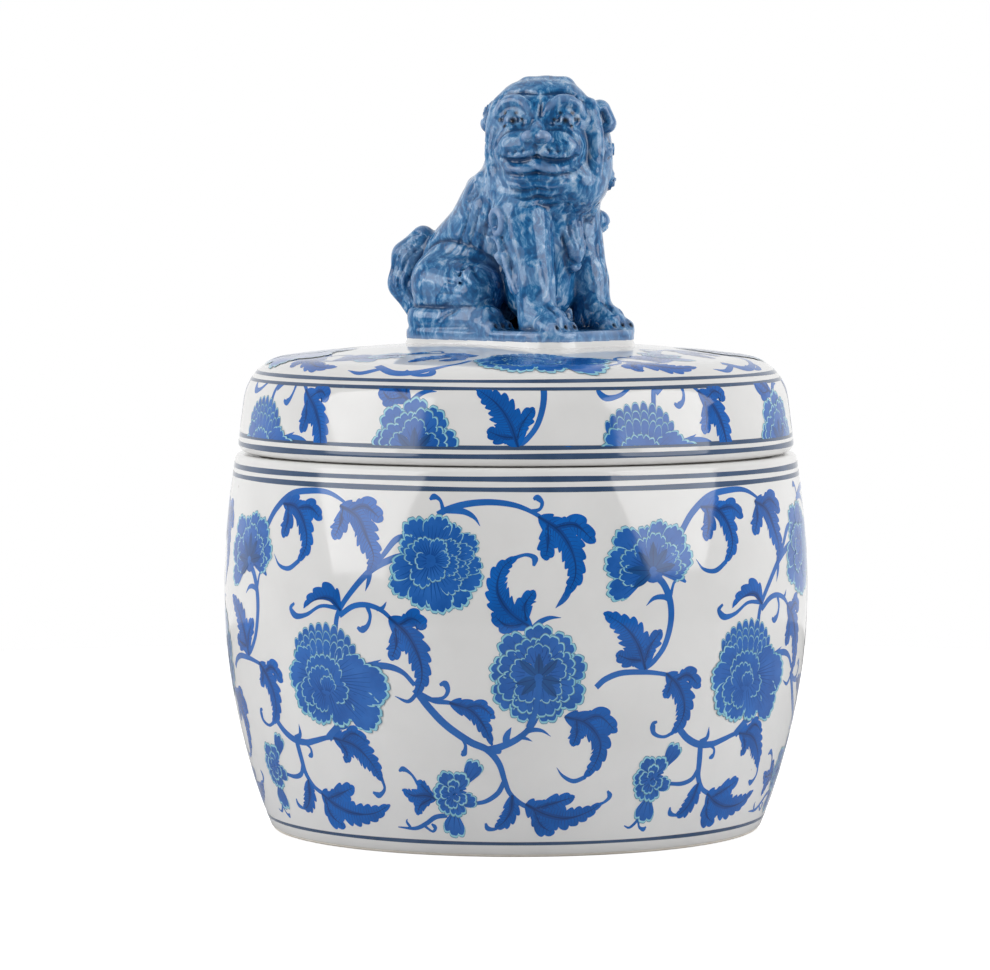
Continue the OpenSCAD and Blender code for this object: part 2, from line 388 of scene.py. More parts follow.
def lid_cap():
    """The lid without its locating ring: outside, hollow inside and the flat that meets the rim."""
    inner, ledge_z = RING_R - RING_T, SEAT_Z + LID_LEDGE
    return np.concatenate([
        lid_edge(), lid_outline(0), lid_outline(LID_WALL)[::-1],
        [[SHOULDER_R + SHOULDER_ROUND - LID_WALL - 1, ledge_z + LID_WALL], [inner, ledge_z],
         [inner, SEAT_Z]],
    ])


def locating_ring():
    """The bare ring under the lid that drops into the jar's mouth."""
    low = SEAT_Z - RING_DEPTH
    return np.concatenate([
        arc(RING_R - RING_T + 1, low + 1, 1, 180, 270, 5),
        arc(RING_R - 1.2, low + 1.2, 1.2, -90, 0, 6),
        [[RING_R, SEAT_Z], [RING_R - RING_T, SEAT_Z]],
    ])


def porcelain():
    """The four turned pieces of the jar and its lid."""
    make("jar_porcelain", *turned(jar_body(), False), WHITE, "jar", ["jar_body"])
    make("foot", *turned(foot_ring(), True), BARE, "jar", ["foot_ring"], "unglazed_porcelain")
    make("lid_porcelain", *turned(lid_cap(), True), WHITE, "lid", ["lid_cap"])
    make("lid_ring", *turned(locating_ring(), True), BARE, "lid", ["locating_ring"], "unglazed_porcelain")


# ---------------------------------------------------------------- the print, drawn flat and laid on
# A drawing is a list of (colour, lift, points). points is a grid [rows, columns, 2] of places in
# millimetres, s round the jar and h up it. lift is how far a layer stands off the glaze, so that
# later strokes cover earlier ones.

def curve(points, step=1.2):
    """A Catmull-Rom curve through points, in the plane or in space, with places about step apart."""
    p = np.array(points, float)
    p = np.concatenate([[2 * p[0] - p[1]], p, [2 * p[-1] - p[-2]]])
    out = []
    for a, b, c, d in zip(p, p[1:], p[2:], p[3:]):
        count = max(2, int(np.ceil(np.linalg.norm(c - b) / step)))
        t = (np.arange(count) / count)[:, None]
        out.append(0.5 * (2 * b + (c - a) * t + (2 * a - 5 * b + 4 * c - d) * t ** 2
                          + (3 * b - a - 3 * c + d) * t ** 3))
    return np.concatenate(out + [p[-2:-1]])


def smooth(points, step):
    """A curve in the plane with its unit tangents and left normals."""
    out = curve(points, step)
    tangent = np.gradient(out, axis=0)
    tangent /= np.linalg.norm(tangent, axis=1)[:, None]
    return out, tangent, np.stack([-tangent[:, 1], tangent[:, 0]], 1)


def stroke(colour, points, widths, lift=0.02, step=0.6):
    """A brush stroke whose width runs through widths along its length."""
    mid, _, normal = smooth(points, step)
    along = np.linspace(0, 1, len(mid))
    half = np.interp(along, np.linspace(0, 1, len(widths)), widths)[:, None, None] / 2
    across = np.array([-1.0, 0.0, 1.0])[None, :, None]
    return [(colour, lift, mid[:, None] + normal[:, None] * half * across)]


def vine(*points, width=1.5, tip=0.3):
    """A stem of even width that runs out to tip at its end."""
    return stroke("vine", points, [width, width * 1.05, width, width * 0.9, max(tip, width * 0.6), tip])


def drop(*points, width=0.9):
    """A curl that ends in a drop."""
    swell = (1.3, 1.0, 0.9, 1.2, 1.9, 0.7)
    return stroke("vine", points, [width * k for k in swell], step=0.35)


def spur(*points, width=1.3):
    """A spur that tapers to a point."""
    return stroke("vine", points, [width, width * 1.1, width * 0.8, 0.12])


def blade(points, reach, teeth, lean=0.75, bulk=0.72, sides=(-1, 1), lift=0.03):
    """One serrated blade of a leaf: teeth swept forward along a curved midrib, with fine veins to them.
    bulk moves the widest place along the blade."""
    mid, tangent, normal = smooth(points, 0.22)
    used = np.linspace(0, 1, len(mid))
    full = np.sin(np.pi * used ** bulk) ** 0.62 * (1 - 0.2 * used) + 0.02
    drawing = []
    for sign in sides:
        phase = (used * teeth + (0.35 if sign > 0 else 0.0)) % 1.0
        tooth = phase ** 0.6 * (1 - phase ** 7)
        large = 0.06 * np.sin(2 * np.pi * used * teeth / 3 + sign)
        half = np.maximum(reach * full * (0.69 + 0.43 * tooth + large), 0.28)
        forward = lean * half * (0.4 + 0.6 * full)
        rows = np.array([0.0, 0.35, 0.7, 1.0])[None, :, None]
        push = normal[:, None] * sign * half[:, None, None] * rows
        push = push + tangent[:, None] * forward[:, None, None] * rows ** 1.5
        drawing.append(("leaf", lift, mid[:, None] + push))
        drawing += veins(mid, tangent, normal, half * sign, forward, used, teeth, lift)
    drawing += stroke("shade", mid[used < 0.9][::6], [0.7, 1.5, 1.3, 0.5, 0.1], lift + 0.004)
    drawing += stroke("vein", mid[used < 0.97][::6], [0.42, 0.36, 0.28, 0.12], lift + 0.008)
    return drawing


def veins(mid, tangent, normal, half, forward, used, teeth, lift):
    """Fine veins from the midrib out towards the teeth."""
    drawing = []
    for n in range(2, 3 * teeth):
        at = int(np.searchsorted(used, (n / 3 + 0.2) / teeth))
        if at >= len(mid) - 2 or abs(half[at]) < 0.9:
            continue
        u = np.array([0.0, 0.35, 0.80 if n % 3 else 0.66])[:, None]
        points = mid[at] + normal[at] * half[at] * u + tangent[at] * forward[at] * u ** 1.5
        drawing += stroke("shade", points, [0.26, 0.18, 0.07], lift + 0.006, 1.2)
    return drawing


def leaf(main, lobes=(), teeth=7, reach=4.0, lean=0.75, sides=(-1, 1)):
    """An acanthus-like leaf: lobes (points, reach) first, and the main blade over them."""
    drawing = []
    for points, width in lobes:
        drawing += blade(points, width, 3, 0.6, 0.95)
    return drawing + blade(main, reach, teeth, lean, 0.62, sides, 0.034)


def turn(angle):
    """The direction at an angle in degrees."""
    return np.array([math.cos(math.radians(angle)), math.sin(math.radians(angle))])


NARROW = 15.0     # half angle under which a petal also gets pale sides
EDGE_W = 0.20     # width of a petal's grey edge
PETAL_LIFT, LIFT_STEP = 0.045, 0.004


def petal(at, angle, length, spread, order, scallops=3, rim=0.5):
    """A fan petal from its base: fill, pale rim and fine grey edge, with short veins from the base."""
    v = np.linspace(-1, 1, 8 * scallops + 1)
    notch = min(0.10 * length, 0.8) * (1 - np.abs(np.cos(v * scallops * np.pi / 2)) ** 0.55)
    ruffle = 0.10 * np.sin(v * scallops * 5.1 + angle) + 0.35 * np.sin(v * 2.2 + angle * 1.7)
    out = length * (1 - 0.14 * v ** 2 - 0.12 * v ** 4) - notch + min(0.1 * length, 1.0) * ruffle
    a = np.radians(angle + v * spread)
    ray = np.stack([np.cos(a), np.sin(a)], 1)
    base = np.array(at, float)
    lift = PETAL_LIFT + LIFT_STEP * order

    def ring(start, end, count):
        f = np.linspace(0, 1, count)[None, :, None]
        return base + ray[:, None] * (start[:, None, None] * (1 - f) + end[:, None, None] * f)

    inner = np.maximum(out - rim, 0.2)
    middle = np.maximum(out - EDGE_W, 0.3)
    drawing = [("petal", lift, ring(np.full(len(v), 0.05), inner, 4)),
               ("rim", lift, ring(inner, middle, 2)),
               ("edge", lift, ring(middle, out, 2))]
    if spread < NARROW:
        drawing += petal_sides(base, ray, out, rim, lift)
    for f in np.linspace(-0.6, 0.6, scallops):
        points = [base + turn(angle + f * spread) * length * u for u in (0.25, 0.5, 0.72)]
        drawing += stroke("shade", points, [0.34, 0.24, 0.08], lift + 0.002, 1.5)
    return drawing


def petal_sides(base, ray, out, rim, lift):
    """The pale rim carried down the outer part of both sides of a petal."""
    drawing = []
    for end, inward in ((0, 1), (-1, -1)):
        f = np.linspace(0.45, 1.0, 5)[:, None]
        line = base + ray[end] * out[end] * f
        across = np.array([-ray[end][1], ray[end][0]]) * inward
        for colour, near, far in (("edge", -EDGE_W * 0.6, 0.0), ("rim", 0.0, rim * 0.55)):
            pair = np.stack([line + across * near, line + across * far], 1)
            drawing.append((colour, lift + 0.001, pair))
    return drawing


def petals(at, rows, order=0):
    """Rings of petals, back to front: rows of (count, first angle, sweep, base, length, spread, scallops).
    Gives the drawing and the order that follows."""
    dot = [np.array(at) + turn(a) * 0.5 for a in range(0, 361, 45)]
    drawing = stroke("petal", dot, [2.2, 2.2], PETAL_LIFT, 0.8)
    for row, (count, first, sweep, base, length, spread, scallops) in enumerate(rows):
        gaps = count if sweep == 360 else max(1, count - 1)
        for n in range(count):
            angle = first + sweep * n / gaps
            reach = (length - base) * (1 + 0.05 * math.sin(n * 2.3 + length))
            foot = np.array(at) + turn(angle) * base
            drawing += petal(foot, angle, reach, spread, order, scallops, max(0.70 - 0.14 * row, 0.36))
            order += 1
    return drawing, order


def bloom(at, parts, size=1.0):
    """Petals given back to front, each as (angle, length, spread, scallops, rim) and, where its base is
    not at the middle, that place too. Gives the drawing and how many petals it has."""
    drawing = disc("petal", at, 3.0 * size, PETAL_LIFT)
    for order, (angle, length, spread, scallops, rim, *base) in enumerate(parts):
        foot = np.array(at) + np.array(base or (0, 0)) * size
        drawing += petal(foot, angle, length * size, spread, order, scallops, rim)
    return drawing, len(parts)


def disc(colour, at, radius, lift):
    """A round spot."""
    points = [np.array(at) + turn(a) * radius * 0.5 for a in range(0, 361, 45)]
    return stroke(colour, points, [radius * 1.02] * 2, lift, 0.8)


def calyx(at, angles, radius, order):
    """Dark sepals behind a flower, each with a midrib, round the button where the stem ends."""
    lift = 0.05 + LIFT_STEP * order
    drawing = []
    for n, angle in enumerate(angles):
        reach = radius * (1 + 0.08 * math.sin(n * 2.4))
        bend = turn(angle + 90) * 0.5 * math.sin(n * 1.7)
        points = [np.array(at) + turn(angle) * reach * u + bend * u for u in (0.1, 0.4, 0.75, 1.0)]
        drawing += stroke("star", points, [0.7, 1.9, 2.3, 1.5, 0.15], lift, 0.8)
        drawing += stroke("vein", points, [0.25, 0.3, 0.1], lift + 0.002, 0.8)
    return drawing + disc("vine", at, 1.1, lift + 0.004)


def star_flower(at, radius):
    """A round flower seen from behind, its stem over the petals."""
    rows = [(9, 90, 360, radius * 0.35, radius, 42, 4), (8, 110, 360, radius * 0.2, radius * 0.82, 42, 4),
            (5, 90, 360, radius * 0.1, radius * 0.60, 44, 4)]
    drawing, order = petals(at, rows)
    drawing += disc("petal", at, radius * 0.26, 0.047 + LIFT_STEP * order)
    button = np.array(at) + (0.2, -0.6)
    stem = [button, button + (-0.1, -4), button + (-0.9, -8.6), button + (-2.4, -radius + 0.4)]
    drawing += stroke("vine", stem, [1.6, 1.3, 1.4, 1.7], 0.052 + LIFT_STEP * order)
    return drawing + calyx(button, (90, 40, 350, 318, 222, 190, 140), radius * 0.48, order)


def fan_flower(at):
    """A flower seen from the side and behind: petals fanned over the button at the head of the stem."""
    back = [(106, 12.0, 20, 4, 0.6), (204, 13.6, 19, 4, 0.9), (-4, 10.2, 20, 4, 0.8),
            (134, 14.0, 24, 5, 0.8), (79, 12.9, 20, 4, 0.7), (166, 13.8, 24, 5, 0.8),
            (18, 13.0, 22, 4, 0.8), (48, 13.8, 23, 5, 0.8)]
    front = [(190, 9.4, 24, 4, 0.5), (156, 9.4, 28, 5, 0.5), (14, 9.0, 24, 4, 0.5),
             (116, 8.8, 26, 4, 0.5), (42, 9.0, 26, 4, 0.5), (78, 9.6, 28, 5, 0.5)]
    drawing, order = bloom(at, back + front)
    return drawing + calyx(at, (216, 172, 130, 92, 50, 8), 6.8, order)


def open_peony(at):
    """A flower half turned to the viewer: broad petals about it and ruffles to the right of its middle."""
    broad = [(150, 10.0, 24, 4, 0.8), (118, 12.4, 24, 4, 0.8), (220, 13.2, 24, 5, 0.8),
             (192, 11.4, 24, 3, 0.8), (312, 14.4, 22, 5, 0.8), (258, 12.8, 27, 5, 0.8),
             (284, 14.0, 20, 4, 0.8), (336, 14.6, 18, 4, 0.7), (356, 13.2, 17, 4, 0.5),
             (22, 13.4, 20, 5, 0.5), (48, 11.6, 20, 4, 0.5), (80, 12.2, 26, 5, 0.7)]
    ruffles = [(12, 11.2, 22, 6, 0.42), (316, 10.4, 24, 5, 0.42), (345, 10.2, 22, 6, 0.42),
               (32, 8.8, 24, 6, 0.42), (160, 7.4, 32, 4, 0.5), (350, 7.8, 28, 6, 0.42),
               (236, 7.6, 34, 4, 0.5), (118, 6.8, 34, 5, 0.5), (60, 6.2, 34, 5, 0.5),
               (10, 5.4, 34, 5, 0.42), (295, 5.8, 36, 4, 0.42), (180, 4.4, 44, 3, 0.42)]
    return bloom(at, broad + ruffles)[0]


def side_peony(at, size):
    """A full flower seen from the side: a dome of narrow petals, broad flank petals and a cup in front."""
    dome = []
    for ring, count in ((1.0, 12), (0.8, 10), (0.6, 8)):
        for phi in np.radians(np.linspace(172, 8, count)):
            tip_x, tip_y = 10.4 * ring * math.cos(phi), 4.6 + 10.4 * ring * math.sin(phi) ** 0.7
            rise, run = tip_y + 1, tip_x * 0.36
            reach = math.hypot(rise, run)
            lean = math.degrees(math.atan2(rise, run))
            dome.append((lean, reach, math.degrees(1.9 / reach), 1, 0.42, tip_x - run, -1))
    flank = [(150, 12.6, 24, 4, 0.6), (24, 14.2, 18, 4, 0.6), (180, 13.8, 25, 5, 0.8),
             (-60, 13.4, 26, 5, 0.8), (214, 13.6, 27, 5, 0.9), (-31, 19.6, 21, 6, 0.9),
             (250, 12.6, 30, 6, 0.9), (-2, 19.8, 22, 6, 0.9)]
    cup = [(200, 9.4, 34, 5, 0.5, 0, -1), (336, 8.0, 32, 4, 0.5, 0, -1),
           (92, 12.0, 44, 9, 0.5, 0, -5), (236, 7.0, 38, 5, 0.45, 0, -2),
           (104, 8.4, 46, 7, 0.45, -0.4, -4.6), (78, 5.2, 46, 5, 0.4, 0.4, -4)]
    return bloom(at, dome + flank + cup, size)[0]


def bud(at, size=1.0):
    """A small half-open flower with one petal thrown up and one hanging."""
    x, y = at
    lower, order = petals((x, y - 3), [
        (1, 262, 0, 0.5, 8.5 * size, 34, 3), (1, 20, 0, 0.5, 6.5 * size, 30, 3)])
    upper, order = petals((x + 2, y + 1), [(1, 58, 0, 0.5, 10.0 * size, 22, 3)], order)
    ball, order = petals((x, y), [
        (5, 60, 220, 0.8, 6.4 * size, 38, 3), (4, 90, 240, 0.5, 4.2 * size, 44, 3),
        (2, 120, 180, 0.3, 2.4 * size, 50, 2)], order)
    return lower + upper + ball


def scroll_vines():
    """Stems, curls and spurs of one quarter of the print, s from -75 to 45."""
    return (
        vine((-76, 81), (-72, 86), (-66, 90), (-59, 91.2), (-52, 91), (-46, 88.5), (-43, 86), width=1.7)
        + vine((-27, 76.5), (-32, 75.2), (-38, 72), (-44, 66), (-47.5, 61), (-48.5, 56), width=1.7, tip=1.4)
        + spur((-38, 73), (-38.2, 70), (-39.2, 67))
        + vine((-28, 81), (-31, 80), (-34, 76.5), (-36, 74), width=1.6, tip=1.2)
        + vine((-47, 60.5), (-43, 63), (-39, 63.6), (-35, 62.6), (-32, 60.4), (-30, 58), width=1.4, tip=1.0)
        + spur((-36, 62.6), (-34.3, 63), (-33.2, 64.6), width=1.0)
        + drop((-38.6, 63.2), (-37.8, 60.8), (-38.6, 58.4), (-40.4, 57.3), (-41.6, 57.9), width=1.0)
        + vine((-43, 46.5), (-38, 48.2), (-33, 48.4), (-29, 47), (-26, 44), width=1.8, tip=1.2)
        + spur((-42, 47.8), (-38, 48.8), (-35, 50), width=1.2)
        + vine((-26, 43), (-22.5, 38.5), (-18, 34), (-12, 30), (-7.5, 28), (-4.5, 24.5), (-3, 20),
               (-1.5, 16.6), (2, 13.8), (6, 12.8), width=1.9, tip=1.3)
        + vine((-25, 42), (-21, 40.2), (-17, 39.8), (-13, 39), width=1.3, tip=0.9)
        + drop((-22, 40.4), (-18.6, 41), (-17.3, 42.8), (-18, 44.6), (-19.4, 44.2), width=0.95)
        + drop((-14, 31), (-13.2, 29), (-13.6, 27.2), (-14.4, 26.4), width=0.9)
        + vine((-8, 27.9), (-4, 28.8), (0, 30.6), (3, 33), (5, 36), (5.5, 39), width=1.7, tip=1.5)
        + spur((-2.6, 29.4), (-2.4, 31.5), (-1.2, 33.8), width=1.7)
        + spur((0.6, 31.2), (2.4, 31), (4.2, 30.2), width=0.9)
        + spur((1, 31.5), (3.6, 33), (6.6, 32.9), (9, 31.4), width=1.2)
        + drop((-8, 28.2), (-6, 27.4), (-4.4, 27.6), (-4.2, 28.6), width=0.7)
        + vine((-20, 86.5), (-17, 88), (-12, 89.3), (-6, 89.7), (0, 88.9), (5, 86.8), (8, 84.5), width=1.6,
               tip=1.1)
        + drop((-18.6, 87.8), (-19.4, 90), (-21, 90.9), (-22.2, 90.2), width=0.9)
        + spur((-18, 87.6), (-13.5, 87.4), (-10.6, 86), (-9, 83.8), width=1.5)
        + drop((3.8, 87.4), (6, 88), (6.6, 89.6), (5.4, 90.8), (4.4, 90.4), width=0.9)
        + spur((4, 58.5), (6, 60.2), (8.4, 61.2), (11.2, 61.2), width=1.3)
        + vine((35.5, 71.5), (38.5, 68.6), (40.3, 64), (40.4, 59), (38.8, 53.5), (36, 49.8), (33.5, 48),
               width=1.8, tip=1.4)
        + spur((40.3, 64.6), (38.4, 65.6), (35.6, 65.4), (33.4, 63.6), width=1.3)
        + drop((40.4, 66), (41.4, 69), (43.2, 70.1), (45, 69), width=0.8)
        + vine((20.4, 43.6), (22.8, 45.6), (27, 47), (33, 47), (38, 46.4), (42, 45.5), width=1.5, tip=1.1)
        + vine((45, 32), (48, 29.4), (52, 27.6), (57, 27.2), (61, 28), (66, 29.2), (70, 29.4), width=1.8,
               tip=1.3)
        + spur((52.6, 28), (55, 29), (55.2, 31.8), width=1.4)
        + drop((56.6, 27), (58.4, 25.8), (58.4, 24.2), (57, 23.6), width=0.8)
        + vine((66, 29), (69.6, 32), (72.4, 36), width=2.2, tip=1.8)
        + spur((69.6, 32), (72.4, 32.4), (74, 33.6), width=1.2)
        + vine((53, 27.4), (53.6, 23), (54.2, 19), (56.5, 15.8), (60, 14), width=1.8, tip=1.3)
        + vine((53.6, 21), (52, 18.6), (48.6, 17.6), (44, 17.9), width=1.3, tip=1.0)
        + vine((-3.2, 19.8), (-5, 16.8), (-8.6, 14.6), (-13, 14), width=1.3, tip=1.0)
        + drop((-27, 18.4), (-28.6, 21), (-30.8, 22.4), (-32.3, 21.8), width=0.8)
        + vine((-19.5, 10.8), (-23, 10.2), (-26, 8.4), (-29.6, 7), (-35, 7.1), width=1.2, tip=0.3)
        + drop((-26.6, 7.8), (-24.4, 6.4), (-23.4, 7.4), (-24.4, 8.4), width=0.7)
        + spur((-31, 7.2), (-32, 8.6), (-31.6, 9.4), width=0.8)
        + vine((36.2, 10.6), (35.6, 8.6), (33.6, 7), (31.8, 7.6), width=0.9, tip=0.3)
        + drop((36, 9), (36.8, 7), (38.4, 6.3), (39, 7), width=0.7)
    )


def scroll_leaves():
    """Leaves of the same quarter."""
    return (
        leaf([(-69, 87.5), (-63.5, 86.8), (-59.6, 82.5), (-58.6, 77.5), (-61.5, 73)],
             [([(-63, 86.6), (-58, 87), (-53.6, 84.2)], 2.6),
              ([(-67, 87.4), (-66.4, 83.6), (-68, 79)], 2.7)], 8, 3.4)
        + spur((-61, 73.6), (-65, 71.4), (-69, 72), (-71.4, 74.6), width=1.2)
        + leaf([(-48, 88), (-42.5, 85.5), (-39.2, 80.5), (-37, 75.6), (-38.4, 71)],
               [([(-44, 87), (-40, 88), (-34.8, 84.6)], 3.0),
                ([(-47, 87.4), (-47.4, 83.6), (-49.4, 79.5)], 2.9)], 8, 3.9)
        + leaf([(-46.6, 61.8), (-50, 64.6), (-54.6, 64.2), (-59, 61.6)], [], 5, 3.6, sides=(-1,))
        + drop((-47.5, 62.4), (-53, 62.6), (-58, 60.2), (-62, 59.6), (-64, 61.4), (-62.6, 62.8), width=0.95)
        + leaf([(-32.6, 60.8), (-27.6, 56.6), (-24.6, 51), (-24, 46), (-25.8, 41)],
               [([(-29.6, 59), (-26, 60.6), (-22.6, 58.4)], 2.8),
                ([(-30.8, 58.2), (-30.6, 54), (-32.2, 50)], 2.7)], 8, 3.6)
        + spur((-25.4, 42), (-28, 39.8), (-31.6, 41), width=1.0)
        + leaf([(-17, 39.8), (-11.6, 38), (-8.2, 34), (-6.2, 29.2)],
               [([(-13, 38.6), (-9, 39), (-5.4, 36)], 2.0)], 6, 2.7)
        + leaf([(4, 58.6), (-1.6, 62.6), (-4.6, 68), (-3.4, 73.4), (0.4, 76.4)],
               [([(2.6, 60.4), (2.2, 64.4), (4.6, 68)], 2.5), ([(2, 59.8), (-2.4, 59.4), (-6, 62.4)], 2.4)],
               9, 3.5)
        + drop((-1, 75.8), (2.4, 76.8), (4.6, 76), (4.4, 74), width=0.9)
        + leaf([(5.6, 86.2), (11, 82.4), (14.2, 77), (14.8, 71.6), (12.4, 66.6)],
               [([(9.6, 83.4), (15, 84), (20, 79.6)], 3.1), ([(8, 84.6), (8, 80), (7.4, 75.4)], 2.8)],
               8, 3.7)
        + spur((13.4, 68.4), (12, 66), (9.8, 63.6), width=1.6)
        + leaf([(33.6, 47.6), (31.4, 53.6), (27.8, 58.4), (22, 62.2)],
               [([(33.2, 49.4), (34.6, 53.4), (37.8, 57.4)], 2.6),
                ([(32.2, 50), (29, 50.4), (25.4, 51.8)], 2.6)], 8, 4.3, lean=0.5)
        + leaf([(39.6, 46.4), (43.4, 43), (45.8, 38.6), (45.6, 34.4), (42.8, 30.6)],
               [([(43, 44.6), (46.4, 45.6), (50.6, 42.2)], 2.6),
                ([(41.4, 44.8), (40.6, 42), (39.4, 40.2)], 1.9)], 8, 3.5)
        + drop((44, 31.6), (40.6, 30.2), (37.4, 31.2), (36.8, 33.6), (38, 34.2), width=0.9)
        + leaf([(-52, 29.2), (-45.4, 27.8), (-40.8, 24), (-37.8, 19)],
               [([(-49, 28.8), (-45, 30.8), (-40.6, 28.6)], 2.2),
                ([(-50, 28.6), (-48, 25.6), (-49, 23)], 2.0)], 8, 3.9)
        + drop((-38, 20), (-37.4, 17), (-39.4, 15.2), (-41.4, 15.8), width=0.9)
        + leaf([(-60.6, 14.2), (-55.6, 11.4), (-49.6, 9.8), (-42.6, 10.2), (-36.4, 12.8)],
               [([(-58, 13), (-52.6, 14.8), (-47.4, 16.8)], 2.9),
                ([(-59.6, 13), (-58.4, 8.4), (-54, 5.8)], 2.8)], 9, 3.9, 0.15)
        + leaf([(-65, 17.4), (-66, 13.4), (-68.4, 10.2), (-71, 9.2)], [], 5, 2.9)
        + drop((-67.4, 11), (-70.6, 9.4), (-73.2, 10), (-73.6, 11.6), width=0.8)
        + leaf([(2.6, 14), (8, 11.4), (14, 10.2), (19.6, 11.4), (24.4, 14)],
               [([(5.4, 12.8), (10.6, 14.2), (16.2, 15.8)], 2.6), ([(5, 12.6), (7, 8.6), (11, 6.2)], 2.6)],
               9, 3.6, 0.1)
        + drop((22, 12.8), (25, 14.2), (26.2, 15.6), (25.4, 17), width=0.8)
        + leaf([(-1, 16.4), (-1.4, 12.4), (-3.4, 9.4), (-6, 7.6)], [], 5, 2.7)
        + drop((-3, 9.6), (-5.6, 7.6), (-8, 7.6), (-8.6, 9), width=0.8)
        + leaf([(12.4, 36.4), (18.4, 34.4), (22.2, 29.6), (21.4, 24.6), (18.4, 20.4)],
               [([(17, 35), (21.6, 36.2), (26.6, 32)], 2.8),
                ([(15.6, 35.4), (15.8, 32), (14.8, 28.8)], 2.3)], 8, 3.4)
        + spur((18.8, 20.8), (15.6, 19.8), (12.6, 21.2), (10.8, 23.4), width=1.1)
        + leaf([(-22, 15), (-25.4, 15.8), (-29, 15.6), (-32, 17)],
               [([(-23.4, 15.8), (-26.2, 18.6), (-26, 19.8)], 1.7),
                ([(-23.6, 15), (-27, 13.2), (-28.4, 10.6)], 2.0)], 5, 2.4)
    )


def scroll_flowers():
    """Flowers of the same quarter."""
    return (
        side_peony((-52.5, 44), 1.0) + open_peony((-21.5, 75)) + star_flower((5.5, 46.8), 12.9)
        + fan_flower((35.4, 72.2)) + bud((-17, 16.4)) + bud((38.4, 19.4))
    )


def lid_profile():
    """The lid's outside as radius, height and outward slope, from the seat to the axis."""
    points = np.concatenate([lid_edge(), lid_outline(0, 60)])
    step = np.gradient(points, axis=0)
    step /= np.linalg.norm(step, axis=1)[:, None]
    return points[:, 0], points[:, 1], np.stack([step[:, 1], -step[:, 0]], 1)


LID_RS, LID_ZS, LID_NORMALS = lid_profile()
ABOVE_EDGE = slice(None, 11, -1)    # from the axis out to the side, without the lid's lower edge


def on_body(s, h):
    """Angle, radius, height and profile normal at a place on the jar's side."""
    lean = (h - BELLY_Z) / np.where(h < BELLY_Z, LOWER_ARC, UPPER_ARC)
    return s / BELLY_R, body_r(h), h, np.sqrt(1 - lean ** 2), lean


def on_lid_side(s, h):
    """The same on the lid's side, where h is the height."""
    r, nr, nz = (np.interp(h, LID_ZS, v) for v in (LID_RS, LID_NORMALS[:, 0], LID_NORMALS[:, 1]))
    return s / BELLY_R, r, h, nr, nz


def on_lid_top(s, h):
    """The same on the dome, where h is the distance in from the shoulder lines."""
    r = DOME_LINES_R - h
    z, nr, nz = (np.interp(r, LID_RS[ABOVE_EDGE], v[ABOVE_EDGE])
                 for v in (LID_ZS, LID_NORMALS[:, 0], LID_NORMALS[:, 1]))
    return s / DOME_PRINT_R, r, z, nr, nz


def refined(points, spacing):
    """The same grid with columns added wherever two are more than spacing apart."""
    gaps = np.linalg.norm(np.diff(points, axis=1), axis=-1).max(axis=0)
    parts = []
    for n, gap in enumerate(gaps):
        count = max(1, math.ceil(gap / spacing))
        f = (np.arange(count) / count)[None, :, None]
        parts.append(points[:, n:n + 1] * (1 - f) + points[:, n + 1:n + 2] * f)
    return np.concatenate(parts + [points[:, -1:]], axis=1)


def lay(drawings, surface, prefix, body, spacing=4.0):
    """Lays drawings, each with the quarters it repeats in, its window of heights and its shift, as one
    piece for each colour. Where the surface bends tightly a small spacing keeps the print above it."""
    verts, normals, faces = {}, {}, {}
    for drawing, turns, (low, high), (ds, dh) in drawings:
        for colour, lift, points in drawing:
            h = points[..., 1] + dh
            if h.max() <= low or h.min() >= high:
                continue
            points = refined(points, spacing)
            h = np.clip(points[..., 1] + dh, low, high)
            a0, r, z, nr, nz = surface(points[..., 0] + ds, h)
            rows, cols = h.shape
            flip = drawn_clockwise(points)
            index = np.arange(rows * cols).reshape(rows, cols)
            ring = [index[:-1, :-1], index[1:, :-1], index[1:, 1:], index[:-1, 1:]]
            quads = np.stack(ring, -1).reshape(-1, 4)
            heights = h.ravel()[quads]
            shown = ~((heights <= low).all(1) | (heights >= high).all(1))
            quads = quads[shown][:, ::-1] if flip else quads[shown]
            for n in turns:
                a = a0 + n * QUARTER
                out = np.stack([nr * np.sin(a), -nr * np.cos(a), nz], -1).reshape(-1, 3)
                place = np.stack([r * np.sin(a), -r * np.cos(a), z + 0 * a], -1).reshape(-1, 3) + out * lift
                count = sum(len(v) for v in verts.get(colour, []))
                verts.setdefault(colour, []).append(place)
                normals.setdefault(colour, []).append(out)
                faces.setdefault(colour, []).append(quads + count)
    for colour in verts:
        make(f"{prefix}_{colour}s", np.concatenate(verts[colour]), np.concatenate(faces[colour]).tolist(),
             PRINT[colour], body, normals=np.concatenate(normals[colour]).tolist())


def drawn_clockwise(points):
    """Whether a grid's faces would look inwards."""
    a = points[1:, :-1] - points[:-1, :-1]
    b = points[:-1, 1:] - points[:-1, :-1]
    return float(np.sum(a[..., 0] * b[..., 1] - a[..., 1] * b[..., 0])) < 0


def ring_line(h, width, wave=0.12):
    """A hand-banded line once round, a little uneven."""
    t = np.linspace(0, 2 * np.pi, SEGMENTS + 1)
    middle = h + wave * np.sin(t + h) + wave * 0.5 * np.sin(3 * t + 2 * h)
    half = width / 2 * (1 + 0.10 * np.sin(5 * t + h) + 0.06 * np.sin(11 * t))
    rows = [np.stack([t * BELLY_R, middle + half * f], 1) for f in np.linspace(-1, 1, 7)]
    return [("line", 0.03, np.stack(rows, 1))]


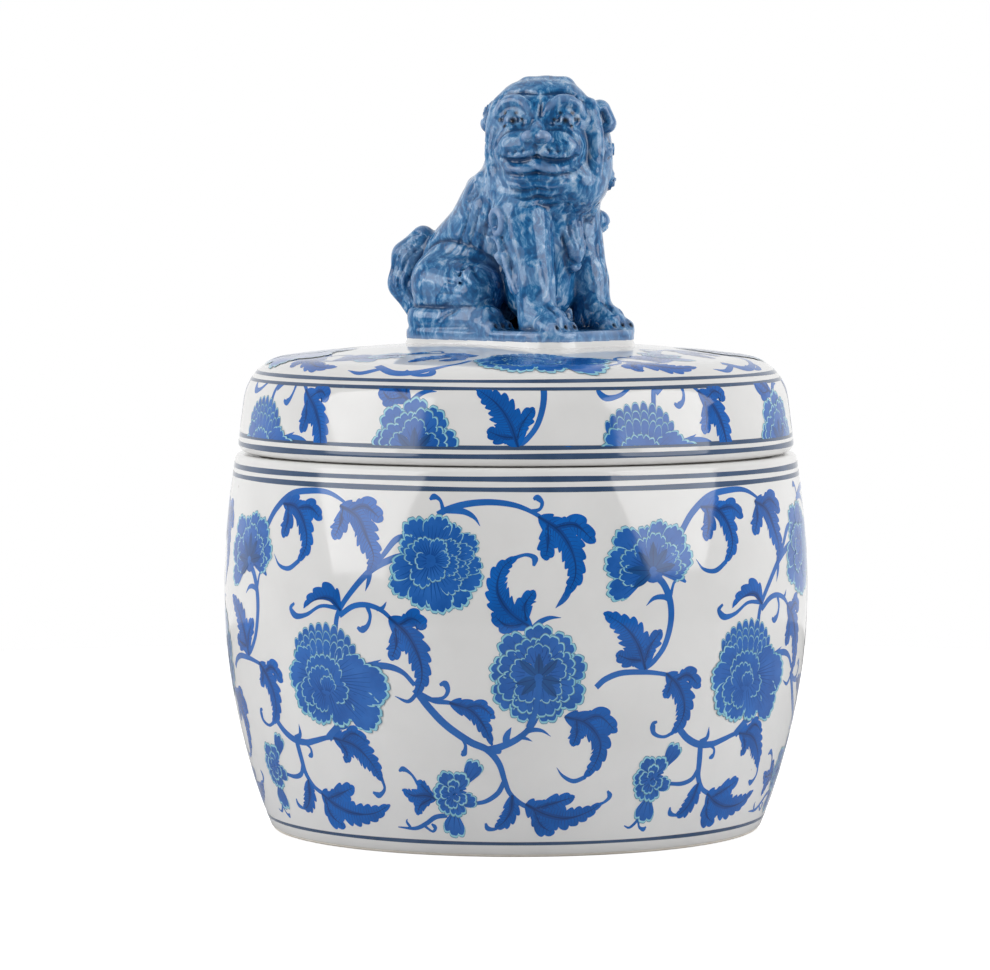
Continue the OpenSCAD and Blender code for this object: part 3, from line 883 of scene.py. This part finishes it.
def lid_top_scroll():
    """One quarter of the dome's print; h runs in from the shoulder."""
    return (
        vine((-24, 8), (-19, 5), (-13, 6), (-8, 11), (-6, 17), width=1.7, tip=1.3)
        + vine((20, 20), (26, 17), (30, 12), (36, 11), (41, 14), width=1.7, tip=1.2)
        + drop((27, 15.6), (28.4, 19), (31, 20.4), (32.6, 18.6), width=0.9)
        + drop((27.4, 14.8), (25.6, 11), (22.6, 9.4), (21.4, 11), width=0.9)
        + vine((-6, 25), (-12, 28.6), (-19, 29), (-25, 26), width=1.4, tip=1.1)
        + drop((-18, 28.8), (-20, 32), (-23, 32.4), (-23.6, 30.4), width=0.9)
        + drop((-17, 5.8), (-14.4, 4.4), (-11.6, 4.8), (-11.4, 6.6), width=0.9)
        + spur((-22, 6.6), (-26, 4.6), (-29.6, 5.4), width=1.3)
        + leaf([(-6, 24), (-12.6, 23.6), (-17.4, 19.4), (-19, 13)],
               [([(-9, 24), (-11.6, 27), (-16, 27)], 2.6), ([(-9, 23.6), (-10, 18.6), (-13, 15.6)], 2.6)],
               8, 3.8)
        + leaf([(36, 11.6), (38.6, 17), (44, 20.6), (50, 19.6)],
               [([(37, 14), (35, 18.6), (37.6, 22.6)], 2.8), ([(39, 17), (43, 14.6), (46.4, 15.6)], 2.6)],
               8, 3.9)
        + leaf([(29, 14.6), (31, 9.4), (36.4, 6.4), (42, 6.6)],
               [([(30, 11.6), (27.4, 8.4), (28.6, 5.4)], 2.2)], 7, 2.9)
        + side_peony((7, 16), 0.92) + bud((-30.4, 22), 0.9)
    )


def ring_lines(lines, wave):
    """Lines given as (height, width)."""
    return [part for h, width in lines for part in ring_line(h, width, wave)]


def printed():
    """The blue print: scrolls and lines on the jar, the lid's side and its dome."""
    scroll = scroll_vines() + scroll_leaves() + scroll_flowers()
    body_lines = ring_lines([(95.2, 1.25), (92.9, 1.25)], 0.12) + ring_lines([(3.6, 0.9)], 0.05)
    side_lines = ring_lines([(100.8, 1.3), (103.0, 1.05), (117.5, 0.85), (119.3, 0.8)], 0.08)
    whole, unmoved = (-1e3, 1e3), (0, 0)
    lay([(scroll, ALL_ROUND, whole, unmoved), (body_lines, [0], whole, unmoved)], on_body, "print", "jar")
    lay([(scroll, ALL_ROUND, (103.2, 117.3), (-33, 55.5)), (side_lines, [0], whole, unmoved)],
        on_lid_side, "lid_print", "lid", 1.0)
    lay([(lid_top_scroll(), ALL_ROUND, (0.3, 36), (-4.2, -3.5))], on_lid_top, "dome_print", "lid", 1.5)


# ---------------------------------------------------------------- the lion, modelled in clay

def lion_axes(p):
    """From the lion's own axes (tail to chest, to its left, up from the plinth) to the jar's."""
    u, v, w = p
    return np.array([u * math.cos(TURN) + v * math.sin(TURN), -u * math.sin(TURN) + v * math.cos(TURN), w])


def head_axes(p):
    """From the head's axes (to the viewer's right, to the back, up) to the jar's, above the plinth."""
    x, y, z = p
    t = math.radians(7)
    return np.array([6.8 + x * math.cos(t) + y * math.sin(t), -9.5 - x * math.sin(t) + y * math.cos(t),
                     51.6 + z])


def joined(one, other, blend):
    """The smooth union of two fields of distances."""
    return np.minimum(one, other) - blend * 0.25 * np.clip(1 - np.abs(one - other) / blend, 0, 1) ** 2


def rounded(u, v):
    """Distance outside a quarter plane whose edges are u = 0 and v = 0, round its corner."""
    return np.hypot(np.maximum(u, 0), np.maximum(v, 0)) + np.minimum(np.maximum(u, v), 0)


class Clay:
    """A block of distances to a surface, that tapered round forms are pressed onto or cut from."""

    def __init__(self, low, high, step):
        self.step = step
        self.low = np.array(low, float)
        self.axes = [np.arange(a, b, step) for a, b in zip(low, high)]
        self.field = np.full([len(a) for a in self.axes], 6.0, np.float32)
        self.ink = []

    def limb(self, start, start_r, end, end_r, blend=2.0, cut=False):
        """Adds, or cuts, a tapered form with round ends."""
        a, b = np.array(start, float), np.array(end, float)
        pad = max(start_r, end_r) + blend + 1.5
        low, high = np.minimum(a, b) - pad, np.maximum(a, b) + pad
        window = tuple(slice(int(np.searchsorted(axis, low[i])), int(np.searchsorted(axis, high[i])))
                       for i, axis in enumerate(self.axes))
        x, y, z = np.meshgrid(*[axis[w].astype(np.float32) for axis, w in zip(self.axes, window)],
                              indexing="ij", sparse=True)
        along = b - a
        length = max(float(along @ along), 1e-9)
        t = np.clip(((x - a[0]) * along[0] + (y - a[1]) * along[1] + (z - a[2]) * along[2]) / length, 0, 1)
        away = np.sqrt((x - a[0] - t * along[0]) ** 2 + (y - a[1] - t * along[1]) ** 2
                       + (z - a[2] - t * along[2]) ** 2)
        d = away - (start_r + t * (end_r - start_r))
        old = self.field[window]
        self.field[window] = -joined(-old, d, blend) if cut else joined(old, d, blend)

    def slab(self, middle, length, width, corner, top, edge, blend=1.2):
        """A flat base with rounded corners and upper edge, along the lion's own axes."""
        x, y = np.meshgrid(*self.axes[:2], indexing="ij")
        along, across = lion_axes((1, 0, 0)), lion_axes((0, 1, 0))
        u = np.abs(x * along[0] + y * along[1] - middle) - (length / 2 - corner)
        v = np.abs(x * across[0] + y * across[1]) - (width / 2 - corner)
        flat = (rounded(u, v) - corner + edge)[:, :, None]
        high = self.axes[2][None, None, :] - top + edge
        self.field = joined(self.field, rounded(flat, high) - edge, blend).astype(np.float32)

    def chain(self, points, radii, blend=1.0, cut=False):
        """Limbs one after another through points, with radii spread along them."""
        r = np.interp(np.linspace(0, 1, len(points)), np.linspace(0, 1, len(radii)), radii)
        for i in range(len(points) - 1):
            self.limb(points[i], r[i], points[i + 1], r[i + 1], blend, cut)

    def value(self, p):
        """The distance at a point, between the block's samples."""
        g = (np.asarray(p) - self.low) / self.step
        i = np.clip(g.astype(int), 0, np.array(self.field.shape) - 2)
        f = g - i
        box = self.field[i[0]:i[0] + 2, i[1]:i[1] + 2, i[2]:i[2] + 2]
        box = box[0] * (1 - f[0]) + box[1] * f[0]
        box = box[0] * (1 - f[1]) + box[1] * f[1]
        return float(box[0] * (1 - f[2]) + box[1] * f[2])

    def draped(self, points, inward, start=14.0, reach=30.0, sink=0.0):
        """Points moved along inward from outside until they meet the surface."""
        out = []
        way = np.array(inward, float) / np.linalg.norm(inward)
        for p in points:
            at = np.array(p, float) - way * start
            for _ in range(60):
                gap = self.value(at)
                if gap < 0.05 or np.linalg.norm(at - p) > reach + start:
                    break
                at = at + way * max(0.12, min(gap * 0.8, 2.0))
            out.append(at + way * sink)
        return out

    def relief(self, points, inward, radii, sink=0.0, blend=0.6, cut=False):
        """A raised or cut line drawn on the surface."""
        self.chain(self.draped(points, inward, sink=sink), radii, blend, cut)


def ring3(centre, first, second):
    """Points of an ellipse about centre, given its two half axes."""
    t = np.radians(np.arange(0, 361, 30))[:, None]
    return np.array(centre) + np.cos(t) * np.array(first) + np.sin(t) * np.array(second)


def press(clay, axes, forms, blend):
    """Adds forms given as (start, radius, end, radius) in one set of axes."""
    for start, start_r, end, end_r in forms:
        clay.limb(axes(start), start_r, axes(end), end_r, blend)


def mapped(axes, points):
    """Points taken from one set of axes to the jar's."""
    return [axes(p) for p in points]


def lion_body(clay):
    """Torso, haunches, legs and tail, over the same forms as the CAD part."""
    press(clay, lion_axes, [
        ((-13.5, 0, 13), 13.3, (-14, 0, 17.5), 13.6), ((-14, 0, 17.5), 13.6, (-3, 0, 32), 12.0),
        ((-3, 0, 32), 12.0, (8, 1, 42), 10.8), ((8, 0, 12), 9.4, (9, 0, 32), 11.2)], 3.0)
    for s in (-1, 1):
        press(clay, lion_axes, [
            ((-16, 9 * s, 13), 9.8, (-4, 11.5 * s, 11), 7.8),
            ((-19, 14 * s, 4.2), 5.0, (3, 14 * s, 3.6), 4.2)], 1.6)
        press(clay, lion_axes, [
            ((10.5, 9.3 * s, 31), 8.1, (15.5, 10.5 * s, 14), 5.4),
            ((15.5, 10.5 * s, 14), 5.4, (17.5, 10.8 * s, 4.5), 5),
            ((17.5, 10.8 * s, 4.5), 5.0, (22, 11.2 * s, 3.4), 4.6)], 1.6)
        for n in (-1, 0, 1):
            press(clay, lion_axes, [
                ((22, 11.2 * s + 3 * n, 3.2), 2.4, (25.4, 11.2 * s + 3.4 * n, 2), 2.1),
                ((2, 14 * s + 2.4 * n, 3.2), 2.2, (6.4, 14 * s + 2.8 * n, 2), 2.0)], 0.7)
    press(clay, lion_axes, [
        ((-25, -6, 4), 4.8, (-31, -9, 13), 4.5), ((-31, -9, 13), 4.5, (-30.5, -8.5, 20), 4.2),
        ((-30.5, -8.5, 20), 4.2, (-26.6, -7, 25), 3.2), ((-27, -4, 10), 5, (-27, -5, 21), 4.4)], 1.6)


def lion_mane(clay):
    """Mane and beard, with a long lock down each side of the face."""
    press(clay, head_axes, [
        ((-2.5, 7, -2), 12.2, (5, 7, -2), 12.2), ((-3.5, 5, -10), 12.2, (5.5, 5, -9), 12.2),
        ((-6.5, -1, -13), 7.9, (8, -1, -12.5), 7.9)], 3.0)
    for s in (-1, 1):
        out = 12.9 + 0.9 * s
        lock = curve([(s * (out - 1), -1, 8), (s * out, -2.5, 1), (s * out, -3.5, -7),
                      (s * (out - 1.6), -4.5, -16.5)], 3.0)
        clay.chain(mapped(head_axes, lock), [1.6, 2.3, 2.5, 2.2, 1.3], 0.5)


def lion_head(clay):
    """Skull, brow, muzzle, jaw and ears."""
    for s in (-1, 1):
        press(clay, head_axes, [
            ((3.6 * s, 1, 3), 10.5, (0, 1, 3), 10.5), ((5.0 * s, 0, 8.4), 5.6, (0, 0, 8.4), 5.6)], 2.2)
        press(clay, head_axes, [((4.6 * s + 0.8, 2, 12.2), 3.2, (0.8, 2, 12.2), 3.2)], 0.8)
        press(clay, head_axes, [
            ((4.5 * s, -5, -4), 7.6, (0, -5, -4), 7.6),
            ((5.8 * s, -7.2, -2.6), 5.6, (1.5 * s, -9, -2.8), 5.2),
            ((3 * s, -5.6, -11), 6.6, (2 * s, -3.5, -14.5), 6.0)], 1.4)
        out = 15.2 + 1.2 * s
        press(clay, head_axes, [((s * (out - 1.8), 2.4, 6.4), 3.0, (s * out, 3.2, 3.2), 2.6)], 0.8)
        hollow = head_axes((s * (out - 0.6), -0.4, 5.6)), head_axes((s * out, 0.2, 3.6))
        clay.limb(hollow[0], 1.0, hollow[1], 0.9, 0.5, cut=True)


def face(clay):
    """Heavy brows, deep-set eyes, a broad nose and muzzle, and a combed beard."""
    inward = head_axes((0, 1, 0)) - head_axes((0, 0, 0))

    def draw(points, radii, cut=False, sink=0.0, blend=0.5, both=True, step=1.0):
        for s in ((-1, 1) if both else (1,)):
            line = [head_axes((x * s, -4, z)) for x, z in curve(points, step)]
            clay.relief(line, inward, radii, sink, blend, cut)

    draw([(11.0, 5.4), (9.0, 8.2), (5.4, 8.8), (2.4, 6.6)], [1.0, 1.7, 1.7, 1.1], sink=0.5)
    draw([(11.4, 8.6), (8.6, 10.6), (4.6, 11.2), (0.6, 10.8)], [0.4, 0.7, 0.7, 0.5], cut=True)
    draw([(10.2, 3.4), (8.6, 5.0), (6.2, 5.0), (3.8, 2.8)], [0.5, 0.8, 0.8, 0.6], cut=True, blend=0.4)
    draw([(0.6, 9.8), (0.7, 7), (0.5, 4.6)], [0.3, 0.6, 0.4], cut=True, both=False)
    for s in (-1, 1):
        eye = clay.draped([head_axes((7.2 * s, -4, 3.8))], inward, sink=0.9)[0]
        clay.limb(eye, 1.9, eye, 1.9, 0.3)
        lid = ring3((7.2 * s, 0, 3.8), (3.0, 0, 0), (0, 0, 1.9))
        clay.relief([head_axes((x, -4, z)) for x, _, z in lid], inward, [0.5], 0.15, 0.3)
        pit = clay.draped([head_axes((6.8 * s + 0.3, -4, 3.8))], inward)[0]
        clay.limb(pit, 0.55, pit, 0.55, 0.2, cut=True)
        clay.ink.append((pit, 1.25))
        for x, _, z in lid[::2]:
            clay.ink.append((clay.draped([head_axes((x, -4, z + 0.3))], inward)[0], 0.75))
    draw([(0.2, 3.0), (0.2, 1.0), (0.2, -0.4)], [1.3, 2.0, 2.3], sink=0.2, both=False)
    draw([(1.8, -0.2), (2.6, -0.6)], [1.6, 1.5], sink=0.1)
    draw([(1.3, -1.6), (2.3, -1.3)], [0.5, 0.45], cut=True)
    draw([(3.2, 1.6), (6.2, 1.8), (9.4, 0.2), (11.2, -3.0)], [0.5, 0.6, 0.6, 0.4], cut=True)
    draw([(0.0, -2.4), (0.2, -4.4), (0.0, -5.4)], [0.4, 0.5, 0.5], cut=True, both=False)
    draw([(0.0, -5.4), (3.4, -6.5), (7.0, -6.5), (9.8, -5.6)], [0.6, 0.8, 0.8, 0.5], cut=True, sink=0.2)
    draw([(0.0, -7.8), (4.0, -8.7), (8.2, -8.3)], [0.9, 1.1, 0.6], sink=0.3)
    draw([(2.0, -3.7), (5.0, -4.4), (8.4, -4.0)], [0.25, 0.4, 0.2], cut=True)
    for n, z in enumerate((-9.9, -11.9, -13.9, -15.9, -17.8)):
        reach = 8.6 - 0.9 * n
        draw([(0.0, z + 0.3), (reach * 0.5, z - 0.4), (reach, z + 0.2)], [0.4, 0.55, 0.3], cut=True)
    for n in range(4):
        draw([(3.0 + 2.2 * n, -3.2 - 0.5 * n), (3.6 + 2.2 * n, -4.6 - 0.3 * n)], [0.3, 0.3], cut=True)


def curls(clay):
    """Snail curls of the mane on the sides and the back of the head."""
    middle = head_axes((1.0, 5.5, -5.5))
    for row, (tilt, count, offset) in enumerate(((38, 6, 0.5), (8, 8, 0.0), (-22, 8, 0.5), (-50, 6, 0.0))):
        for n in range(count):
            a = math.radians(-18 + 216 * (n + offset) / (count - 1 + 2 * offset))
            t = math.radians(tilt)
            out = np.array([math.cos(a) * math.cos(t), math.sin(a) * math.cos(t), math.sin(t)])
            side_way = np.array([-math.sin(a), math.cos(a), 0])
            up = np.cross(out, side_way)
            deep = 2.6 if a > math.radians(150) else 2.0 if a < math.radians(25) else 0.9
            at = clay.draped([middle + out * 12], -out, start=12, reach=26, sink=deep)[0]
            clay.limb(at, 3.3, at, 3.3, 0.5)
            hand = -1 if (n + row) % 2 else 1
            spiral = [at + side_way * hand * r * math.cos(b) + up * r * math.sin(b)
                      for r, b in zip(np.linspace(0.4, 2.9, 13), np.linspace(0, 3.6 * math.pi, 13))]
            clay.relief([p + out * 5 for p in spiral], -out, [0.34, 0.48], 0.0, 0.25, cut=True)


def coat(clay):
    """Combed grooves on haunches, tail and chest, the spine, ribbon, bell and claws."""
    for s in (-1, 1):
        inward = lion_axes((0, -s, 0))

        def groove(points, radii=(0.3, 0.55, 0.3), sink=0.0):
            line = [lion_axes((u, 15 * s, w)) for u, w in curve(points, 1.3)]
            clay.relief(line, inward, radii, sink, 0.35, True)

        for n in range(6):
            fan = [(r, math.radians(96 + 15 * n) + 0.03 * r) for r in (7, 9, 12, 15)]
            groove([(4.5 + r * math.cos(a), 7.5 + 0.9 * r * math.sin(a)) for r, a in fan],
                   (0.2, 0.5, 0.55, 0.3), -0.1)
        groove([(4, 15), (-4, 22.5), (-15, 24.5), (-24, 19), (-26, 10)], (0.4, 0.7, 0.7, 0.5))
        groove([(-24, 7.6), (-12, 7.2), (0, 7.4)], (0.5, 0.6, 0.4))
        for n in range(5):
            groove([(9 - 3.2 * n, 33 + 0.6 * n), (6.6 - 3.6 * n, 27 - 0.4 * n),
                    (6 - 4.4 * n, 21.5 - 0.2 * n)])
        for n in range(3):
            groove([(10 + 1.6 * n, 26 - 2 * n), (12.2 + 1.4 * n, 19 - 2 * n), (13.6 + 1.3 * n, 12)],
                   (0.25, 0.4, 0.2))
        ribbon(clay, s)
    spine(clay)
    tail_lines(clay)
    chest(clay)
    claws(clay)


def ribbon(clay, s):
    """A bow of two loops with its tails on the shoulder."""
    inward = lion_axes((0, -s, 0))
    for centre, wide, high in (((8.8, 29.4), 2.1, 3.0), ((6.8, 22.6), 2.5, 3.2)):
        loop = ring3((centre[0], 15 * s, centre[1]), (wide, 0, 0), (0, 0, high))
        clay.relief(mapped(lion_axes, loop), inward, [1.0], -0.25, 0.3)
    for shift in (0.0, 2.4):
        tail = curve([(8 + shift, 20.6), (9.4 + shift, 16), (12 + shift, 11.4)], 1.5)
        clay.relief([lion_axes((u, 15 * s, w)) for u, w in tail], inward, [1.1, 1.0, 0.6], -0.1, 0.35)


def spine(clay):
    """Small flame-shaped knobs down the back."""
    line = curve([(-8, 0, 43), (-15, 0, 35), (-23, 0, 26), (-27, 0, 17), (-27, 0, 8)], 3.6)
    inward = lion_axes((0.8, 0, -0.6))
    for p in clay.draped(mapped(lion_axes, line), inward, start=10, sink=0.6):
        clay.limb(p, 1.9, p + lion_axes((-0.6, 0, -1.4)), 1.2, 0.5)
    for s in (-1, 1):
        clay.relief(mapped(lion_axes, [(u, 3.4 * s, w) for u, _, w in line]), inward, [0.45], 0.0, 0.3,
                    cut=True)


def tail_lines(clay):
    """The upright tail is combed into leaf-like locks."""
    for shift in (-3.0, -1.0, 1.0, 3.0):
        line = curve([(-27 + shift * 0.7, -20, 5), (-31 + shift * 0.8, -20, 12),
                      (-30 + shift * 0.9, -20, 19), (-26.5 + shift * 0.5, -20, 25)], 1.4)
        for way, side in ((lion_axes((0.35, 1, 0)), -1), (lion_axes((0.35, -1, 0)), 1)):
            start = mapped(lion_axes, [(u, -8 + 8 * side, w) for u, _, w in line])
            clay.relief(start, way, [0.35, 0.6, 0.35], 0.0, 0.3, cut=True)
    back = curve([(-34, -8, 5), (-36, -9, 12), (-36, -9, 19), (-31, -8, 27)], 1.4)
    for shift in (-1.6, 1.6):
        start = mapped(lion_axes, [(u, v + shift, w) for u, v, w in back])
        clay.relief(start, lion_axes((1, 0, 0)), [0.35, 0.6, 0.35], 0.0, 0.3, cut=True)


def chest(clay):
    """A hanging bib with a bell between the forelegs."""
    press(clay, lion_axes, [((15, 1, 34), 5.2, (18.4, 1.2, 23), 3.6),
                            ((18.4, 1.2, 23), 3.6, (18.8, 1.4, 18.6), 2.2)], 0.8)
    inward = lion_axes((-1, 0, 0))
    for half in (5.2, 2.4):
        deep = 16 * (0.5 + half / 10.4)
        bib = [(14, 1.2 + half * x, 34 - deep * (1 - x * x) ** 0.5) for x in np.linspace(-1, 1, 13)]
        clay.relief(mapped(lion_axes, bib), inward, [0.5], 0.0, 0.3, cut=True)
    for v in (-3.4, 0.2, 3.8):
        line = curve([(14, 1 + v, 31), (14, 1 + v * 0.8, 26), (14, 1 + v * 0.5, 21.5)], 1.5)
        clay.relief(mapped(lion_axes, line), inward, [0.3, 0.45, 0.25], 0.0, 0.3, cut=True)


def claws(clay):
    """Grooves between the toes and a nail on each."""
    for s in (-1, 1):
        for u, v, gap, reach in ((25.6, 11.2 * s, 3.2, 6), (6.6, 14 * s, 2.6, 2)):
            for toe in (-0.5, 0.5):
                start = [lion_axes((u - reach * f, v + gap * toe, 12)) for f in (1, 0.5, 0)]
                clay.relief(start, (0, 0, -1), [0.3, 0.5, 0.5], 0.1, 0.3, cut=True)
            for toe in (-1, 0, 1):
                nail = lion_axes((u + 1.5, v + gap * toe * 1.05, 2.5))
                clay.limb(nail, 0.45, lion_axes((u + 0.2, v + gap * toe * 1.05, 3.4)), 0.35, 0.2, cut=True)
                clay.ink.append((nail, 1.0))


def skin(clay):
    """Surface nets: one vertex in each cell that the surface passes, quads across each crossed edge."""
    f = clay.field
    inside = f < 0
    shape = np.array(f.shape) - 1
    total = np.zeros((*shape, 3), np.float32)
    count = np.zeros(shape, np.float32)
    corners = [(i, j, k) for i in (0, 1) for j in (0, 1) for k in (0, 1)]

    def at(grid, corner):
        return grid[tuple(slice(c, c + n) for c, n in zip(corner, shape))]

    for a in corners:
        for axis in range(3):
            if a[axis]:
                continue
            b = tuple(c + (i == axis) for i, c in enumerate(a))
            fa, fb = at(f, a), at(f, b)
            crossed = at(inside, a) != at(inside, b)
            t = np.where(crossed, fa / np.where(crossed, fa - fb, 1), 0)
            for i in range(3):
                total[..., i] += crossed * (a[i] + (t if i == axis else 0))
            count += crossed
    used = count > 0
    number = np.full(shape, -1)
    number[used] = np.arange(used.sum())
    cells = np.argwhere(used)
    verts = clay.low + (cells + total[used] / count[used][:, None]) * clay.step
    faces = []
    for axis in range(3):
        low = tuple(slice(0 if i == axis else 1, n) for i, n in enumerate(shape))
        high = tuple(slice(1 if i == axis else 1, n + (i == axis)) for i, n in enumerate(shape))
        one, two = inside[low], inside[high]
        for start, flip in ((one & ~two, False), (~one & two, True)):
            place = np.argwhere(start) + [0 if i == axis else 1 for i in range(3)]
            j, k = [(1, 2), (2, 0), (0, 1)][axis]
            quad = []
            for dj, dk in ((1, 1), (0, 1), (0, 0), (1, 0)):
                cell = place.copy()
                cell[:, j] -= dj
                cell[:, k] -= dk
                quad.append(number[tuple(cell.T)])
            quad = np.stack(quad, 1)
            faces.append(quad[:, ::-1] if flip else quad)
    return verts, np.concatenate(faces)


def blurred(field, reach):
    """Box blur along each axis."""
    out = field.astype(np.float64)
    for axis in range(3):
        margins = [(reach + 1, reach) if i == axis else (0, 0) for i in range(3)]
        total = np.cumsum(np.pad(out, margins, "edge"), axis)
        n = out.shape[axis]
        first = np.take(total, np.arange(2 * reach + 1, n + 2 * reach + 1), axis)
        out = (first - np.take(total, np.arange(n), axis)) / (2 * reach + 1)
    return out


def sampled(clay, grid, verts):
    """Values of a grid at the vertices, between its samples."""
    g = (verts - clay.low) / clay.step
    i = np.clip(g.astype(int), 0, np.array(grid.shape) - 2)
    f = g - i
    total = np.zeros(len(verts))
    for corner in np.ndindex(2, 2, 2):
        total += np.prod(np.where(corner, f, 1 - f), axis=1) * grid[tuple((i + corner).T)]
    return total


def store(piece, name, values):
    """Keeps a value for each vertex, for the material to read."""
    layer = piece.data.attributes.new(name, "FLOAT", "POINT")
    layer.data.foreach_set("value", values.astype(np.float32))


def lion():
    """The whole lion as one skin, its blue base wrapped over the plinth."""
    clay = Clay((-40, -32, -2.4), (36, 34, 70), LION_STEP)
    lion_body(clay)
    clay.slab(PLINTH_MIDDLE, PLINTH_L + 2 * BASE_OVERLAP, PLINTH_W + 2 * BASE_OVERLAP,
              PLINTH_CORNER + BASE_OVERLAP, BASE_TOP, PLINTH_EDGE)
    lion_mane(clay)
    lion_head(clay)
    curls(clay)
    face(clay)
    coat(clay)
    under = -clay.axes[2].astype(np.float32)[None, None, :] - BASE_DROP
    clay.field = np.maximum(clay.field, under)
    verts, faces = skin(clay)
    piece = make("lion", verts + (0, 0, PLINTH_Z), faces.tolist(), LION, "lid", LION_NODES,
                 "mottled_blue_glaze")
    # relief compares the surface with its blurred self; the lion's glaze paints shade where it is low and a
    # highlight where it is high
    relief = sampled(clay, blurred(clay.field, 3) - clay.field, verts)
    store(piece, "relief", np.clip(0.5 + relief * 0.9, 0, 1))
    ink = np.zeros(len(verts))
    for at, reach in clay.ink:
        near = 1 - np.linalg.norm(verts - at, axis=1) / reach
        ink = np.maximum(ink, np.clip(1.6 * near, 0, 1))
    store(piece, "ink", ink)


def plinth():
    """White slab under the lion, its upper edge rounded, its foot sunk into the dome."""
    edge, corner = PLINTH_EDGE, PLINTH_CORNER
    levels = ((0, APEX_Z - 3.4), (-0.5, APEX_Z - 0.6), (-0.1, APEX_Z + 0.2), (0, PLINTH_Z - edge),
              (edge * 0.3, PLINTH_Z - edge * 0.3), (edge, PLINTH_Z), (6, PLINTH_Z))
    verts = []
    for inset, z in levels:
        for start, sx, sy in ((0, 1, 1), (90, -1, 1), (180, -1, -1), (270, 1, -1)):
            for t in np.radians(np.linspace(start, start + 90, 13)):
                u = PLINTH_MIDDLE + sx * (PLINTH_L / 2 - corner) + (corner - inset) * math.cos(t)
                v = sy * (PLINTH_W / 2 - corner) + (corner - inset) * math.sin(t)
                verts.append((*lion_axes((u, v, 0))[:2], z))
    n = len(verts) // len(levels)
    faces = [[a * n + i, a * n + (i + 1) % n, (a + 1) * n + (i + 1) % n, (a + 1) * n + i]
             for a in range(len(levels) - 1) for i in range(n)]
    faces += [list(range(n))[::-1], list(range(len(verts) - n, len(verts)))]
    make("plinth", verts, faces, WHITE, "lid", ["lion_plinth"])


# ---------------------------------------------------------------- floor, light and camera

def stage():
    """A pale round of floor under the object; past it the studio is plain white."""
    mesh = bpy.data.meshes.new("floor")
    sides, radius = 96, 0.5
    angles = np.linspace(0, 2 * math.pi, sides, endpoint=False)
    mesh.from_pydata([(radius * math.cos(t), radius * math.sin(t), 0) for t in angles], [], [range(sides)])
    floor = bpy.data.objects.new("floor", mesh)
    bpy.context.scene.collection.objects.link(floor)
    made, tree, shader = new_material("floor")
    shader.inputs["Base Color"].default_value = (0.62, 0.62, 0.62, 1)
    shader.inputs["Roughness"].default_value = 0.6
    shader.inputs["Specular IOR Level"].default_value = 0.1
    shader.inputs["Emission Color"].default_value = (1, 1, 1, 1)
    seen = node(tree, "ShaderNodeLightPath")
    glow = span(tree, seen.outputs["Is Camera Ray"], 0, 1, 0.0, 0.70)
    tree.links.new(glow, shader.inputs["Emission Strength"])
    mesh.materials.append(made)


def world():
    """A studio, white behind the object and dim behind the camera; plain white where it is seen."""
    made = bpy.data.worlds.new("studio")
    made.use_nodes = True
    tree = made.node_tree
    place = node(tree, "ShaderNodeTexCoord")
    axes = node(tree, "ShaderNodeSeparateXYZ")
    tree.links.new(place.outputs["Generated"], axes.inputs["Vector"])
    depth = span(tree, axes.outputs["Y"], -0.3, 0.7, 0, 1)
    room = ramp(tree, depth, [(0.0, (0.16, 0.16, 0.16)), (1.0, (0.95, 0.95, 0.95))])
    seen = node(tree, "ShaderNodeLightPath")
    colour = mixed(tree, seen.outputs["Is Camera Ray"], room, (1, 1, 1))
    tree.links.new(colour, tree.nodes["Background"].inputs["Color"])
    bpy.context.scene.world = made


def softbox(name, azimuth, distance, size, low, power):
    """A square softbox with cut corners that faces the object, its lower edge at the height low."""
    data = bpy.data.lights.new(name, "AREA")
    data.shape = "SQUARE"
    data.size = size
    data.energy = power
    data.use_nodes = True
    tree = data.node_tree
    across = node(tree, "ShaderNodeNewGeometry")
    centred = vector_math(tree, "SUBTRACT", across.outputs["Parametric"], (0.5, 0.5, 0))
    apart = vector_math(tree, "ABSOLUTE", centred.outputs[0])
    corner = vector_math(tree, "DOT_PRODUCT", apart.outputs[0], (1, 1, 0))
    cut = span(tree, corner.outputs["Value"], 0.70, 0.72, 1.0, 0.0)
    tree.links.new(cut, tree.nodes["Emission"].inputs["Strength"])
    lamp = bpy.data.objects.new(name, data)
    a = math.radians(azimuth)
    lamp.location = (distance * math.sin(a), -distance * math.cos(a), low + size / 2)
    aim = Vector((0, 0, low + size / 2)) - lamp.location
    lamp.rotation_euler = aim.to_track_quat("-Z", "Y").to_euler()
    bpy.context.scene.collection.objects.link(lamp)


def camera():
    """The photograph's view: long lens, a little above the lid."""
    data = bpy.data.cameras.new("camera")
    data.sensor_width = 36.0
    data.lens = 180.95
    data.shift_x = -0.0212
    data.clip_start = 0.05
    data.clip_end = 20
    cam = bpy.data.objects.new("camera", data)
    bpy.context.scene.collection.objects.link(cam)
    cam.location = (0, -1.3, 0.172)
    aim = Vector((0, 0, 0.0892429))
    cam.rotation_euler = (aim - cam.location).to_track_quat("-Z", "Y").to_euler()
    bpy.context.scene.camera = cam


porcelain()
printed()
plinth()
lion()
stage()
world()
softbox("left_box", -62, 1.1, 1.1, 0.06, 12.4)
softbox("right_box", 64, 1.1, 1.1, 0.06, 12.2)
camera()
bpy.context.scene.view_settings.view_transform = "Standard"
